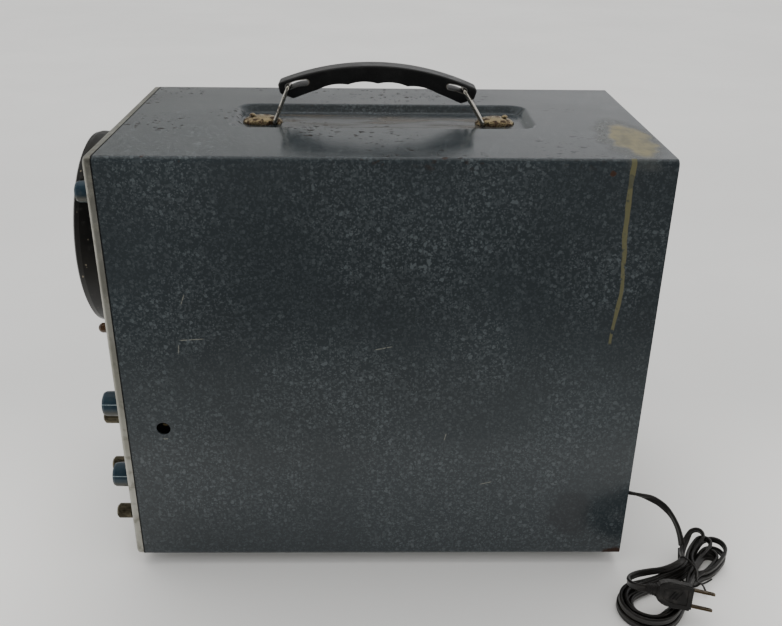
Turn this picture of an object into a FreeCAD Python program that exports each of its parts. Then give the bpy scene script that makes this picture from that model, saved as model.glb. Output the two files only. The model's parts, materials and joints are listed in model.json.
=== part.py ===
import FreeCAD, Part
import math
import os

from FreeCAD import Vector

# Portable valve oscilloscope with a five-inch tube, in millimetres.
# +X runs from the front panel to the rear, +Z up.  The origin is on the floor, under
# the middle of the object without its mains cord.

# ---- driving dimensions ----------------------------------------------------------
CASE_LENGTH = 406.0
CASE_WIDTH = 231.0
CASE_HEIGHT = 347.4
SHEET = 1.2
CASE_BEND = 4.5
FOOT_HEIGHT = 10.0
BEZEL_REACH = 33.9
TRIM_DEPTH = 6.0
TRIM_BAR = 11.0
PANEL_THICK = 2.0
FLANGE = 6.5
REAR_RECESS = 4.0
GAP = 0.3

# ---- places that follow from them ---------------------------------------------------
MID_X = 16.25
FRONT_X = MID_X - CASE_LENGTH / 2
REAR_X = MID_X + CASE_LENGTH / 2
HALF_W = CASE_WIDTH / 2
BASE_Z = FOOT_HEIGHT
TOP_Z = BASE_Z + CASE_HEIGHT
PANEL_BACK = FRONT_X + PANEL_THICK
REAR_FACE = REAR_X - REAR_RECESS

# ---- screen and picture tube ---------------------------------------------------------
TUBE_Z = BASE_Z + 254.0
BEZEL_R = 79.2
WINDOW_R = 62.0
GLASS_R = 66.0
NECK_R = 25.4

# ---- controls on the front panel: (name, y, height above the case's underside) ----------
KNOBS = [
    ("intensity", -84.0, 312.5),
    ("focus", 84.0, 312.5),
    ("vertical_position", 92.0, 136.5),
    ("horizontal_position", -92.0, 136.5),
    ("vertical_gain", 92.0, 67.0),
    ("horizontal_gain", -92.0, 67.0),
    ("sweep_vernier", 34.0, 46.0),
    ("sync_level", -34.0, 46.0),
]
SELECTORS = [
    ("vertical_input", 42.0, 132.0),
    ("sync_source", -42.0, 132.0),
    ("sweep_range", 0.0, 94.0),
]
POSTS = [
    ("vertical_high", 78.0, 116.0),
    ("vertical_low", 74.0, 65.0),
    ("vertical_ground", 92.0, 29.0),
    ("horizontal_high", -78.0, 116.0),
    ("horizontal_low", -74.0, 65.0),
    ("horizontal_ground", -92.0, 29.0),
]
KNOB_R = 10.5
SMALL_KNOB_R = 8.2
SMALL_KNOBS = ("intensity", "focus")
KNOB_REACH = 22.8
SELECTOR_R = 15.5
SHAFT_R = 3.0
SHAFT_FIT = 0.06
BUSH_R = 4.75
BUSH_OUT = 5.5
NUT_AF = 12.5
NUT_THICK = 2.4
POST_R = 6.3
POST_REACH = 28.3
GROUND_REACH = 24.2
STUD_REACH = 17.0
PILOT = (-84.0, 201.0)
TOGGLE = (0.0, 40.0)
TOGGLE_LEAN = 16.0
TOGGLE_PIN_R = 1.2

# ---- carrying handle ------------------------------------------------------------------
HANDLE_Y = 8.0
RECESS_MID_X = 14.5
RECESS_HALF = (119.5, 39.0)
RECESS_DEEP = 6.0
RECESS_SLOPE = 6.0
RECESS_CORNER = 14.0
RECESS_FLOOR = TOP_Z - RECESS_DEEP
LINK_WIRE = 1.5
LINK_LENGTH = 31.0
LINK_HALF_Y = 12.2
LINK_BEND = 3.0
PIVOT_Z = RECESS_FLOOR + 2.0
# side: (pivot x, direction towards the grip's middle, lean at rest, lean when lowered)
LINKS = {
    "left": (-72.0, 1.0, 22.7, 50.0),
    "right": (95.0, -1.0, 31.6, 56.2),
}
LIFT = 12.0
GRIP_MID_X = 10.75
GRIP_TILT = 1.3
GRIP_HALF_LENGTH = 79.0
GRIP_HALF_WIDTH = 10.0
GRIP_TOP = TOP_Z + 41.2
GRIP_ARC_R = 203.0
GRIP_THICK = 13.6
SLOT_R = 2.1
PLATE_LENGTH = 32.0
PLATE_WIDTH = 23.0
PLATE_RISE = 6.0

# ---- access hole in the side, feet, vents -----------------------------------------------
ACCESS = (-157.9, BASE_Z + 127.7)
ACCESS_R = 5.5
FOOT_R = 9.5
FOOT_INSET_X = 38.0
FOOT_Y = 76.0
FOOT_HOLE_R = 1.85

# ---- chassis and what stands on it ----------------------------------------------------------
CHASSIS_Z = BASE_Z + 158.0
CHASSIS_HALF_Y = 102.0
CHASSIS_SKIRT = 45.0
CHASSIS_X = (FRONT_X + 62.0, REAR_X - 24.0)
TRIMMER_REACH = 4.6
VALVE_PLACES = [(x, y) for x in (0.0, 42.0, 84.0) for y in (-84.0, -52.0, 52.0, 84.0)]
CAN_PLACES = [(140.0, -84.0), (140.0, 84.0), (178.0, 84.0)]

# ---- mains cord: its lead, its hank and its plug ------------------------------------------
CORD_D = 6.0
GLAND = (-92.0, 57.5)
GLAND_TIP_X = 226.0
LEAD_ROUTE = [
    (226.0, -92.0, 57.5),
    (240.0, -93.5, 56.0),
    (256.0, -97.0, 49.5),
    (268.0, -102.0, 36.0),
    (274.0, -108.5, 19.5),
    (273.5, -116.0, 6.0),
]
HANK_NEAR = (236.0, -172.0, 34.0, 24.0)
HANK_FAR = (298.0, -104.0, 20.0, 32.0)
HANK_WAIST = (268.0, -134.0, 10.0, 22.0)
HANK_HOLE_R = 11.0
PLUG_MID = (246.0, -178.0, 24.0)
PLUG_SIZE = (27.0, 20.0, 12.0)
BLADE_SPACING = 12.7
BLADE = (17.0, 6.3, 1.5)

NODES = {}


# ---- small builders ----------------------------------------------------------------------
def block(x0, y0, z0, x1, y1, z1):
    return Part.makeBox(x1 - x0, y1 - y0, z1 - z0, Vector(x0, y0, z0))


def rod(radius, start, end):
    start = Vector(*start)
    along = Vector(*end) - start
    return Part.makeCylinder(radius, along.Length, start, along)


def ring(outer, inner, start, end):
    return rod(outer, start, end).cut(rod(inner, start, end))


def turned(profile, y, z):
    """Turn an outline of (x, radius) points about the X direction through (y, z)."""
    points = [Vector(x, y, z + radius) for x, radius in profile]
    face = Part.Face(Part.makePolygon(points + points[:1]))
    return face.revolve(Vector(0, y, z), Vector(1, 0, 0), 360)


def hex_nut(width, start, end):
    start = Vector(*start)
    along = Vector(*end) - start
    radius = width / math.sqrt(3)
    corners = []
    for k in range(7):
        turn = math.radians(60 * k)
        corners.append(start + Vector(0, radius * math.cos(turn), radius * math.sin(turn)))
    return Part.Face(Part.makePolygon(corners)).extrude(along)


def upright_plate(x0, x1, half_y, z0, z1, corner):
    """A rounded rectangle standing across the case, from x0 to x1."""
    plate = block(x0, -half_y, z0, x1, half_y, z1)
    edges = [e for e in plate.Edges if abs(e.BoundBox.XLength - (x1 - x0)) < 1e-6]
    return plate.makeFillet(corner, edges)


def rounded_outline(mid_x, mid_y, half_x, half_y, z, corner):
    plate = block(mid_x - half_x, mid_y - half_y, z, mid_x + half_x, mid_y + half_y, z + 1)
    edges = [e for e in plate.Edges if e.BoundBox.ZLength > 0.5]
    solid = plate.makeFillet(corner, edges)
    floor = min(solid.Faces, key=lambda f: f.CenterOfMass.z)
    return floor.OuterWire


def joined(shapes):
    whole = shapes[0]
    for shape in shapes[1:]:
        whole = whole.fuse(shape)
    return whole.removeSplitter()


def cut_all(shape, tools):
    return shape.cut(Part.makeCompound(tools)) if tools else shape


def keep(name, *shapes):
    """Put a node's solids aside for export, each one its own closed solid."""
    solids = []
    for shape in shapes:
        solids.extend(shape.Solids)
    NODES[name] = solids


# ---- cabinet --------------------------------------------------------------------------
def recess_form(spread, drop):
    """The pressed recess as a solid form, grown sideways by spread and down by drop."""
    low_z = RECESS_FLOOR - drop
    rise = RECESS_DEEP + drop + 2.0
    run = RECESS_SLOPE / RECESS_DEEP
    half_x = RECESS_HALF[0] - RECESS_SLOPE + spread
    half_y = RECESS_HALF[1] - RECESS_SLOPE + spread
    corner = RECESS_CORNER - RECESS_SLOPE
    grow = rise * run
    low = rounded_outline(RECESS_MID_X, HANDLE_Y, half_x, half_y, low_z, corner)
    high = rounded_outline(RECESS_MID_X, HANDLE_Y, half_x + grow, half_y + grow,
                           low_z + rise, corner + grow)
    return Part.makeLoft([low, high], True, True)


def soften_recess(skin):
    """Round the pressed recess at its rim and at its floor."""
    rim = []
    floor = []
    for edge in skin.Edges:
        box = edge.BoundBox
        inside = box.YMax < HANDLE_Y + RECESS_HALF[1] + 3 and box.YMin > HANDLE_Y - RECESS_HALF[1] - 3
        if inside and abs(box.ZMin - TOP_Z) < 0.01 and abs(box.ZMax - TOP_Z) < 0.01:
            rim.append(edge)
        elif inside and abs(box.ZMin - RECESS_FLOOR) < 0.01 and abs(box.ZMax - RECESS_FLOOR) < 0.01:
            floor.append(edge)
    return skin.makeFillet(4.0, rim + floor)


def case_block(inset, x0, x1, corner):
    return upright_plate(x0, x1, HALF_W - inset, BASE_Z + inset, TOP_Z - inset, corner)


def trim_screw_places():
    bar = HALF_W - TRIM_BAR / 2
    heights = (BASE_Z + 60, BASE_Z + 174, BASE_Z + 288)
    return [(side * bar, z) for side in (-1, 1) for z in heights]


def rear_screw_places():
    edge = HALF_W - SHEET - FLANGE / 2
    heights = (BASE_Z + 25, BASE_Z + 174, BASE_Z + 322)
    return [(side * edge, z) for side in (-1, 1) for z in heights]


def foot_places():
    ends = (FRONT_X + FOOT_INSET_X, REAR_X - FOOT_INSET_X)
    return [(x, side * FOOT_Y) for x in ends for side in (-1, 1)]


def plate_rivet_places():
    places = []
    for pivot_x, inward, _, _ in LINKS.values():
        outer = pivot_x - inward * (PLATE_LENGTH - 5.5)
        places.append((outer + inward * 8.0, HANDLE_Y))
    return places


def cabinet_shell():
    skin = soften_recess(case_block(0, FRONT_X, REAR_X, CASE_BEND).cut(recess_form(0, 0)))
    hollow = case_block(SHEET, FRONT_X - 1, REAR_X + 1, CASE_BEND - SHEET)
    hollow = hollow.cut(recess_form(SHEET, SHEET))
    flanges = []
    for x in (PANEL_BACK, REAR_FACE - 2 * SHEET):
        plate = case_block(SHEET, x, x + SHEET, CASE_BEND - SHEET)
        flanges.append(plate.cut(case_block(SHEET + FLANGE, x - 1, x + SHEET + 1, 2.0)))
    shell = joined([skin.cut(hollow)] + flanges)
    tools = [rod(ACCESS_R, (ACCESS[0], -HALF_W - 5, ACCESS[1]), (ACCESS[0], -HALF_W + 5, ACCESS[1]))]
    for y, z in trim_screw_places():
        tools.append(rod(1.6, (PANEL_BACK - 1, y, z), (PANEL_BACK + 3, y, z)))
    for y, z in rear_screw_places():
        tools.append(rod(1.6, (REAR_FACE - 5, y, z), (REAR_FACE, y, z)))
    for x, y in foot_places():
        tools.append(rod(FOOT_HOLE_R, (x, y, BASE_Z - 1), (x, y, BASE_Z + 3)))
    for x, y in plate_rivet_places():
        tools.append(rod(2.0, (x, y, RECESS_FLOOR - 3), (x, y, RECESS_FLOOR + 1)))
    for row in (-34.0, 34.0):
        for k in range(12):
            x = MID_X - 88.0 + 16.0 * k
            tools.append(block(x - 1.75, row - 22, BASE_Z - 1, x + 1.75, row + 22, BASE_Z + 3))
    return cut_all(shell, tools)


def front_trim():
    x0 = FRONT_X - TRIM_DEPTH
    frame = upright_plate(x0, FRONT_X, HALF_W, BASE_Z, TOP_Z, 5.5)
    outer = [e for e in frame.Edges if abs(e.BoundBox.XMax - x0) < 0.01]
    frame = frame.makeFillet(3.0, outer)
    window = upright_plate(x0 - 1, FRONT_X + 1, HALF_W - TRIM_BAR, BASE_Z + TRIM_BAR,
                           TOP_Z - TRIM_BAR, 3.0)
    frame = frame.cut(window)
    tools = []
    for y, z in trim_screw_places():
        tools.append(rod(1.6, (x0 - 1, y, z), (FRONT_X + 1, y, z)))
        tools.append(Part.makeCone(3.1, 1.6, 1.5, Vector(x0, y, z), Vector(1, 0, 0)))
    return cut_all(frame, tools)


def front_panel():
    plate = upright_plate(FRONT_X, PANEL_BACK, HALF_W - SHEET - GAP, BASE_Z + SHEET + GAP,
                          TOP_Z - SHEET - GAP, 3.0)
    tools = [rod(GLASS_R + 2.5, (FRONT_X - 1, 0, TUBE_Z), (PANEL_BACK + 1, 0, TUBE_Z))]
    holes = [(y, BASE_Z + z, BUSH_R) for _, y, z in KNOBS + SELECTORS]
    holes += [(y, BASE_Z + z, 3.4) for _, y, z in POSTS]
    holes += [(y, z, 1.6) for y, z in trim_screw_places()]
    holes.append((PILOT[0], BASE_Z + PILOT[1], 3.5))
    holes.append((TOGGLE[0], BASE_Z + TOGGLE[1], 5.9))
    for y, z, radius in holes:
        tools.append(rod(radius, (FRONT_X - 1, y, z), (PANEL_BACK + 1, y, z)))
    return cut_all(plate, tools)


def rear_panel():
    x0 = REAR_FACE - SHEET
    plate = upright_plate(x0, REAR_FACE, HALF_W - SHEET - GAP, BASE_Z + SHEET + GAP,
                          TOP_Z - SHEET - GAP, 3.0)
    tools = [rod(5.0, (x0 - 1, GLAND[0], GLAND[1]), (REAR_FACE + 1, GLAND[0], GLAND[1]))]
    for y, z in rear_screw_places():
        tools.append(rod(1.6, (x0 - 1, y, z), (REAR_FACE + 1, y, z)))
    for column in (-50.0, 0.0, 50.0):
        for k in range(16):
            z = BASE_Z + 118.0 + 12.0 * k
            tools.append(block(x0 - 1, column - 19, z, REAR_FACE + 1, column + 19, z + 3.5))
    return cut_all(plate, tools)


def machine_screw(tip, head_side, head_r, head_h, shank_r, length):
    """A round-headed screw along X whose head sits on the face at tip."""
    x, y, z = tip
    dome = Part.makeSphere(head_r * 1.25, Vector(x - head_side * (head_r * 1.25 - head_h), y, z))
    slab = rod(head_r, (x, y, z), (x + head_side * head_h, y, z))
    slot = block(x + head_side * head_h - 0.7, y - 0.5, z - head_r, x + head_side * head_h + 0.7,
                 y + 0.5, z + head_r)
    shank = rod(shank_r, (x - head_side * length, y, z), (x, y, z))
    return joined([dome.common(slab).cut(slot), shank])


def trim_screw(y, z):
    x0 = FRONT_X - TRIM_DEPTH
    head = Part.makeCone(3.0, 1.5, 1.45, Vector(x0 + 0.03, y, z), Vector(1, 0, 0))
    slot = block(x0 - 0.2, y - 3.2, z - 0.4, x0 + 0.7, y + 3.2, z + 0.4)
    return joined([head.cut(slot), rod(1.5, (x0 + 1.4, y, z), (PANEL_BACK + 4, y, z))])


def foot(x, y):
    body = Part.makeCone(FOOT_R - 1.5, FOOT_R, BASE_Z, Vector(x, y, 0))
    bottom = [e for e in body.Edges if e.BoundBox.ZMax < 0.01]
    body = body.makeFillet(1.2, bottom)
    hole = rod(FOOT_HOLE_R, (x, y, -1), (x, y, BASE_Z + 1))
    return body.cut(hole).cut(rod(4.3, (x, y, -1), (x, y, 3.6)))


def foot_screw(x, y):
    head = rod(3.9, (x, y, 1.4), (x, y, 3.6)).cut(block(x - 4, y - 0.5, 1, x + 4, y + 0.5, 2.2))
    return joined([head, rod(FOOT_HOLE_R - 0.1, (x, y, 3.6), (x, y, BASE_Z + 6))])


# ---- screen ----------------------------------------------------------------------------
def crt_bezel():
    front = FRONT_X - BEZEL_REACH
    profile = [
        (FRONT_X, 64.0),
        (FRONT_X, 77.5),
        (front + 6.0, BEZEL_R),
        (front + 2.0, BEZEL_R - 1.0),
        (front + 0.4, BEZEL_R - 3.6),
        (front, BEZEL_R - 6.2),
        (front + 1.0, BEZEL_R - 8.4),
        (FRONT_X - 9.0, WINDOW_R + 1.5),
        (FRONT_X - 8.0, WINDOW_R),
        (FRONT_X - 3.2, WINDOW_R),
        (FRONT_X - 3.2, 58.0),
        (FRONT_X - 1.2, 58.0),
    ]
    return turned(profile, 0, TUBE_Z)


def graticule():
    return rod(WINDOW_R - 0.2, (FRONT_X - 6.2, 0, TUBE_Z), (FRONT_X - 3.2, 0, TUBE_Z))


def crt_tube():
    face = FRONT_X - 0.2
    outside = [
        (face, 0.0), (face + 1.5, 30.0), (face + 6.0, 58.0), (face + 11.0, GLASS_R),
        (face + 26.0, GLASS_R), (face + 60.0, 57.0), (face + 150.0, NECK_R), (face + 300.0, NECK_R),
        (face + 300.0, 0.0),
    ]
    inside = [
        (face + 296.0, 0.0), (face + 296.0, NECK_R - 2.5), (face + 151.0, NECK_R - 2.5),
        (face + 61.0, 54.0), (face + 27.0, GLASS_R - 3), (face + 14.0, GLASS_R - 3.5),
        (face + 10.0, 56.0), (face + 6.0, 29.0), (face + 4.5, 0.0),
    ]
    glass = turned(outside, 0, TUBE_Z)
    return glass.cut(turned(inside, 0, TUBE_Z))


def crt_base():
    start = FRONT_X - 0.2 + 300.0
    base = rod(NECK_R + 1.2, (start, 0, TUBE_Z), (start + 18, 0, TUBE_Z))
    key = rod(5.0, (start + 18, 0, TUBE_Z), (start + 30, 0, TUBE_Z))
    pins = []
    for k in range(12):
        turn = math.radians(30 * k)
        y = 16 * math.cos(turn)
        z = TUBE_Z + 16 * math.sin(turn)
        pins.append(rod(1.2, (start + 17.5, y, z), (start + 28, y, z)))
    return joined([base, key] + pins)


def crt_socket():
    start = FRONT_X - 0.2 + 319.0
    body = rod(24.0, (start, 0, TUBE_Z), (start + 12, 0, TUBE_Z))
    tools = [rod(5.3, (start - 1, 0, TUBE_Z), (start + 13, 0, TUBE_Z))]
    for k in range(12):
        turn = math.radians(30 * k)
        y = 16 * math.cos(turn)
        z = TUBE_Z + 16 * math.sin(turn)
        tools.append(rod(1.4, (start - 1, y, z), (start + 10, y, z)))
    return cut_all(body, tools)


def crt_cushion():
    return ring(GLASS_R + 2.3, GLASS_R + 0.1, (PANEL_BACK - 2, 0, TUBE_Z), (FRONT_X + 24, 0, TUBE_Z))


def crt_shield():
    start = FRONT_X + 62.0
    end = FRONT_X + 290.0
    neck = FRONT_X + 152.0
    wall = 0.9
    profile = [
        (start, 61.0), (start, 61.0 + wall), (neck, NECK_R + 5 + wall), (end, NECK_R + 5 + wall),
        (end, NECK_R + 5), (neck, NECK_R + 5),
    ]
    return turned(profile, 0, TUBE_Z)


def crt_clamp():
    x0 = FRONT_X + 250.0
    x1 = x0 + 12.0
    outer = NECK_R + 9.0
    band = ring(outer, NECK_R + 6.2, (x0, 0, TUBE_Z), (x1, 0, TUBE_Z))
    post = block(x0, -14, CHASSIS_Z + 3.6, x1, 14, TUBE_Z - outer + 1)
    foot_plate = block(x0 - 8, -20, CHASSIS_Z + 1.6, x1 + 8, 20, CHASSIS_Z + 3.8)
    return joined([band, post, foot_plate])


# ---- chassis -----------------------------------------------------------------------------
def chassis():
    x0, x1 = CHASSIS_X
    deep = CHASSIS_Z - CHASSIS_SKIRT
    wall = 1.6
    tray = block(x0, -CHASSIS_HALF_Y, deep, x1, CHASSIS_HALF_Y, CHASSIS_Z + wall)
    tray = tray.cut(block(x0 - 1, -CHASSIS_HALF_Y + wall, deep - 1, x1 - wall,
                          CHASSIS_HALF_Y - wall, CHASSIS_Z))
    tools = [rod(9.3, (x, y, CHASSIS_Z - 1), (x, y, CHASSIS_Z + 3)) for x, y in VALVE_PLACES]
    for x, y in CAN_PLACES:
        tools.append(rod(8.0, (x, y, CHASSIS_Z - 1), (x, y, CHASSIS_Z + 3)))
    return cut_all(tray, tools)


def chassis_bracket(side):
    """A gusset that ties the chassis's side to the front panel."""
    y0 = side * (CHASSIS_HALF_Y + GAP / 3)
    y1 = side * (CHASSIS_HALF_Y + 1.6)
    low, high = min(y0, y1), max(y0, y1)
    points = [
        Vector(PANEL_BACK, low, CHASSIS_Z - 60), Vector(PANEL_BACK, low, CHASSIS_Z + 40),
        Vector(PANEL_BACK + 14, low, CHASSIS_Z + 40), Vector(CHASSIS_X[0] + 60, low, CHASSIS_Z - 4),
        Vector(CHASSIS_X[0] + 60, low, CHASSIS_Z - 40), Vector(PANEL_BACK + 14, low, CHASSIS_Z - 60),
    ]
    plate = Part.Face(Part.makePolygon(points + points[:1])).extrude(Vector(0, high - low, 0))
    return plate


def transformer():
    x0, x1 = 118.0, 186.0
    z0 = CHASSIS_Z + 1.7
    core = block(x0 + 16, -36, z0, x1 - 16, 36, z0 + 56)
    bells = []
    for low, high in ((x0, x0 + 15.9), (x1 - 15.9, x1)):
        bell = block(low, -33, z0 + 4, high, 33, z0 + 52)
        outer = x0 if low == x0 else x1
        edges = [e for e in bell.Edges if abs(e.BoundBox.XMin - outer) < 0.01
                 and abs(e.BoundBox.XMax - outer) < 0.01]
        bells.append(bell.makeFillet(7.0, edges))
    return core, bells


def filter_can(x, y):
    z0 = CHASSIS_Z + 1.7
    can = rod(14.5, (x, y, z0 + 3), (x, y, z0 + 66))
    top = [e for e in can.Edges if e.BoundBox.ZMin > z0 + 65]
    return joined([can.makeFillet(2.0, top), rod(12.0, (x, y, z0), (x, y, z0 + 3))])


def valve_socket(x, y):
    z0 = CHASSIS_Z + 1.7
    ring_top = ring(11.5, 7.2, (x, y, z0), (x, y, z0 + 3))
    body = ring(9.0, 7.2, (x, y, z0 - 12), (x, y, z0))
    floor = rod(9.0, (x, y, z0 - 15), (x, y, z0 - 12))
    return joined([ring_top, body, floor])


def valve(x, y):
    z0 = CHASSIS_Z + 1.7 - 11.5
    base = rod(7.0, (x, y, z0), (x, y, z0 + 15.5))
    bulb = rod(10.0, (x, y, z0 + 15.5), (x, y, z0 + 52))
    top = [e for e in bulb.Edges if e.BoundBox.ZMin > z0 + 51]
    tip = Part.makeCone(2.2, 0.7, 4.5, Vector(x, y, z0 + 51.8))
    return joined([base, bulb.makeFillet(7.0, top), tip])


def pot_case(y, z):
    body = ring(8.5, SHAFT_R + SHAFT_FIT, (PANEL_BACK, y, z), (PANEL_BACK + 12, y, z))
    cap = rod(8.5, (PANEL_BACK + 12, y, z), (PANEL_BACK + 14, y, z))
    bush = ring(BUSH_R - 0.05, SHAFT_R + SHAFT_FIT, (FRONT_X - BUSH_OUT, y, z), (PANEL_BACK, y, z))
    tags = [block(PANEL_BACK + 4, y - 6 + 5 * k, z - 14, PANEL_BACK + 5, y - 4 + 5 * k, z - 8)
            for k in range(3)]
    return joined([body, cap, bush] + tags)


def switch_case(y, z):
    plate = ring(15.0, SHAFT_R + SHAFT_FIT, (PANEL_BACK, y, z), (PANEL_BACK + 4, y, z))
    bush = ring(BUSH_R - 0.05, SHAFT_R + SHAFT_FIT, (FRONT_X - BUSH_OUT, y, z), (PANEL_BACK, y, z))
    parts = [plate, bush]
    for k in range(2):
        x = PANEL_BACK + 14 + 12 * k
        parts.append(ring(17.0, 5.0, (x, y, z), (x + 1.6, y, z)))
    for side in (-1, 1):
        parts.append(rod(1.6, (PANEL_BACK + 1, y + side * 11, z), (PANEL_BACK + 30, y + side * 11, z)))
    return joined(parts)


def control_nut(y, z):
    x1 = FRONT_X
    x0 = x1 - NUT_THICK
    return hex_nut(NUT_AF, (x0, y, z), (x1, y, z)).cut(rod(BUSH_R, (x0 - 1, y, z), (x1 + 1, y, z)))


def shaft(y, z, inner, outer):
    return rod(SHAFT_R, (inner, y, z), (outer, y, z))


def round_knob(y, z, radius):
    """A tapered pot knob, hollow underneath.  A large one clears the nut, a small one stops short of it."""
    front = FRONT_X - KNOB_REACH
    back = FRONT_X - (1.6 if radius > NUT_AF / 2 + 3 else NUT_THICK + 1.6)
    profile = [
        (back, radius - 1.9), (back, radius), (front + 2.4, radius - 0.5), (front + 0.7, radius - 1.3),
        (front, radius - 3.0), (front, 0.0), (front + 5.0, 0.0), (front + 5.0, SHAFT_R),
        (FRONT_X - BUSH_OUT - 2.0, SHAFT_R), (FRONT_X - BUSH_OUT - 2.0, radius - 1.9),
    ]
    return turned(profile, y, z)


def pointer_knob(y, z):
    """A switch knob: a round skirt with a raised bar across it."""
    front = FRONT_X - KNOB_REACH
    back = FRONT_X - 1.6
    skirt_top = FRONT_X - 11.0
    profile = [
        (back, 8.6), (back, SELECTOR_R), (skirt_top + 1.2, SELECTOR_R), (skirt_top, SELECTOR_R - 1.2),
        (skirt_top, 0.0), (skirt_top + 1.0, 0.0), (skirt_top + 1.0, SHAFT_R),
        (FRONT_X - BUSH_OUT - 2.0, SHAFT_R), (FRONT_X - BUSH_OUT - 2.0, 8.6),
    ]
    bar = block(front, y - 4.6, z - SELECTOR_R + 1.2, skirt_top + 0.2, y + 4.6, z + SELECTOR_R - 0.6)
    edges = [e for e in bar.Edges if e.BoundBox.XMin < skirt_top]
    bar = bar.makeFillet(1.6, edges)
    bore = rod(SHAFT_R, (front + 5.0, y, z), (skirt_top + 2, y, z))
    return joined([turned(profile, y, z), bar]).cut(bore)


def toggle_body():
    y, z = TOGGLE[0], BASE_Z + TOGGLE[1]
    box = block(PANEL_BACK, y - 7, z - 13, PANEL_BACK + 18, y + 7, z + 13)
    bush = rod(5.8, (FRONT_X - 8, y, z), (PANEL_BACK, y, z))
    well = rod(4.9, (FRONT_X - 9, y, z), (PANEL_BACK + 6, y, z))
    pin_hole = rod(TOGGLE_PIN_R + SHAFT_FIT, (FRONT_X, y - 5.7, z), (FRONT_X, y + 5.7, z))
    return cut_all(joined([box, bush]), [well, pin_hole])


def toggle_nut():
    y, z = TOGGLE[0], BASE_Z + TOGGLE[1]
    return hex_nut(14.0, (FRONT_X - 2.4, y, z), (FRONT_X, y, z)).cut(
        rod(5.85, (FRONT_X - 3, y, z), (FRONT_X + 1, y, z)))


def toggle_lever():
    y, z = TOGGLE[0], BASE_Z + TOGGLE[1]
    pivot = Vector(FRONT_X, y, z)
    lever = joined([
        Part.makeSphere(3.9, pivot),
        rod(TOGGLE_PIN_R, (FRONT_X, y - 5.5, z), (FRONT_X, y + 5.5, z)),
        Part.makeCone(1.8, 2.7, 22.0, pivot, Vector(-1, 0, 0)),
        Part.makeSphere(2.75, pivot + Vector(-22.0, 0, 0)),
    ])
    lever.rotate(pivot, Vector(0, 1, 0), TOGGLE_LEAN)
    return lever


def pilot_holder():
    y, z = PILOT[0], BASE_Z + PILOT[1]
    flange = ring(5.4, 3.6, (FRONT_X - 6, y, z), (FRONT_X, y, z))
    sleeve = ring(3.4, 2.6, (FRONT_X, y, z), (PANEL_BACK + 16, y, z))
    web = ring(5.4, 2.6, (FRONT_X - 1.5, y, z), (FRONT_X, y, z))
    return joined([flange, web, sleeve])


def pilot_jewel():
    y, z = PILOT[0], BASE_Z + PILOT[1]
    body = rod(3.5, (FRONT_X - 17, y, z), (FRONT_X - 1.7, y, z))
    dome = Part.makeSphere(4.0, Vector(FRONT_X - 17, y, z))
    dome = dome.cut(block(FRONT_X - 17, y - 5, z - 5, FRONT_X, y + 5, z + 5))
    rim = rod(4.0, (FRONT_X - 17, y, z), (FRONT_X - 6.2, y, z))
    return joined([body, dome, rim])


def post_base(y, z):
    """The insulator and threaded stud of a binding post."""
    washer = rod(6.2, (FRONT_X - 4.5, y, z), (FRONT_X, y, z))
    neck = rod(3.3, (FRONT_X, y, z), (PANEL_BACK + 1, y, z))
    back = rod(6.2, (PANEL_BACK, y, z), (PANEL_BACK + 3.5, y, z))
    stud = rod(1.95, (FRONT_X - STUD_REACH, y, z), (PANEL_BACK + 16, y, z))
    return joined([washer, neck, back, stud])


def post_cap(y, z, reach):
    """The thumb nut of a binding post, with a plain collar and a fluted grip."""
    front = FRONT_X - reach
    profile = [
        (FRONT_X - 5.2, 2.03), (FRONT_X - 5.2, 4.6), (FRONT_X - 11.0, 4.6), (FRONT_X - 12.0, POST_R),
        (front + 1.6, POST_R), (front, POST_R - 1.6), (front, 0.0), (front + 6.0, 0.0),
        (front + 6.0, 2.03),
    ]
    cap = turned(profile, y, z)
    flutes = []
    for k in range(18):
        turn = math.radians(20 * k)
        at_y = y + (POST_R + 0.25) * math.cos(turn)
        at_z = z + (POST_R + 0.25) * math.sin(turn)
        flutes.append(rod(0.6, (front - 1, at_y, at_z), (FRONT_X - 12.8, at_y, at_z)))
    return cut_all(cap, flutes)


def side_trimmer():
    """The preset control behind the access hole, with a slotted brass spindle."""
    x, z = ACCESS
    wall = -(CHASSIS_HALF_Y + 1.6)
    body = rod(7.5, (x, -CHASSIS_HALF_Y + 0.2, z), (x, -CHASSIS_HALF_Y + 11, z))
    tip = wall - TRIMMER_REACH
    spindle = rod(2.2, (x, tip, z), (x, -CHASSIS_HALF_Y + 1, z))
    slot = block(x - 3, tip - 0.5, z - 0.45, x + 3, tip + 1.3, z + 0.45)
    return joined([body, spindle]).cut(slot)


# ---- handle --------------------------------------------------------------------------------
def pin_path(side, steps=6):
    """Where a link's upper wire lies in the grip as the grip goes down."""
    pivot_x, inward, lean, lean_low = LINKS[side]
    points = []
    for k in range(steps + 1):
        share = k / steps
        turn = math.radians(lean + (lean_low - lean) * share)
        x = pivot_x + inward * LINK_LENGTH * math.sin(turn)
        z = PIVOT_Z + LINK_LENGTH * math.cos(turn) + LIFT * share
        points.append(Vector(x, HANDLE_Y, z))
    return points


def slot_tool(side):
    points = pin_path(side)
    tail = points[-1] - points[-2]
    points.append(points[-1] + tail.normalize() * 2.5)
    reach = Vector(0, GRIP_HALF_WIDTH + 4, 0)
    parts = []
    for start, end in zip(points, points[1:]):
        along = end - start
        across = Vector(-along.z, 0, along.x).normalize() * SLOT_R
        corners = [start + across, end + across, end - across, start - across]
        face = Part.Face(Part.makePolygon([c - reach for c in corners + corners[:1]]))
        parts.append(face.extrude(reach * 2))
    for point in points:
        parts.append(Part.makeCylinder(SLOT_R, reach.Length * 2, point - reach, Vector(0, 1, 0)))
    return joined(parts)


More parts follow.
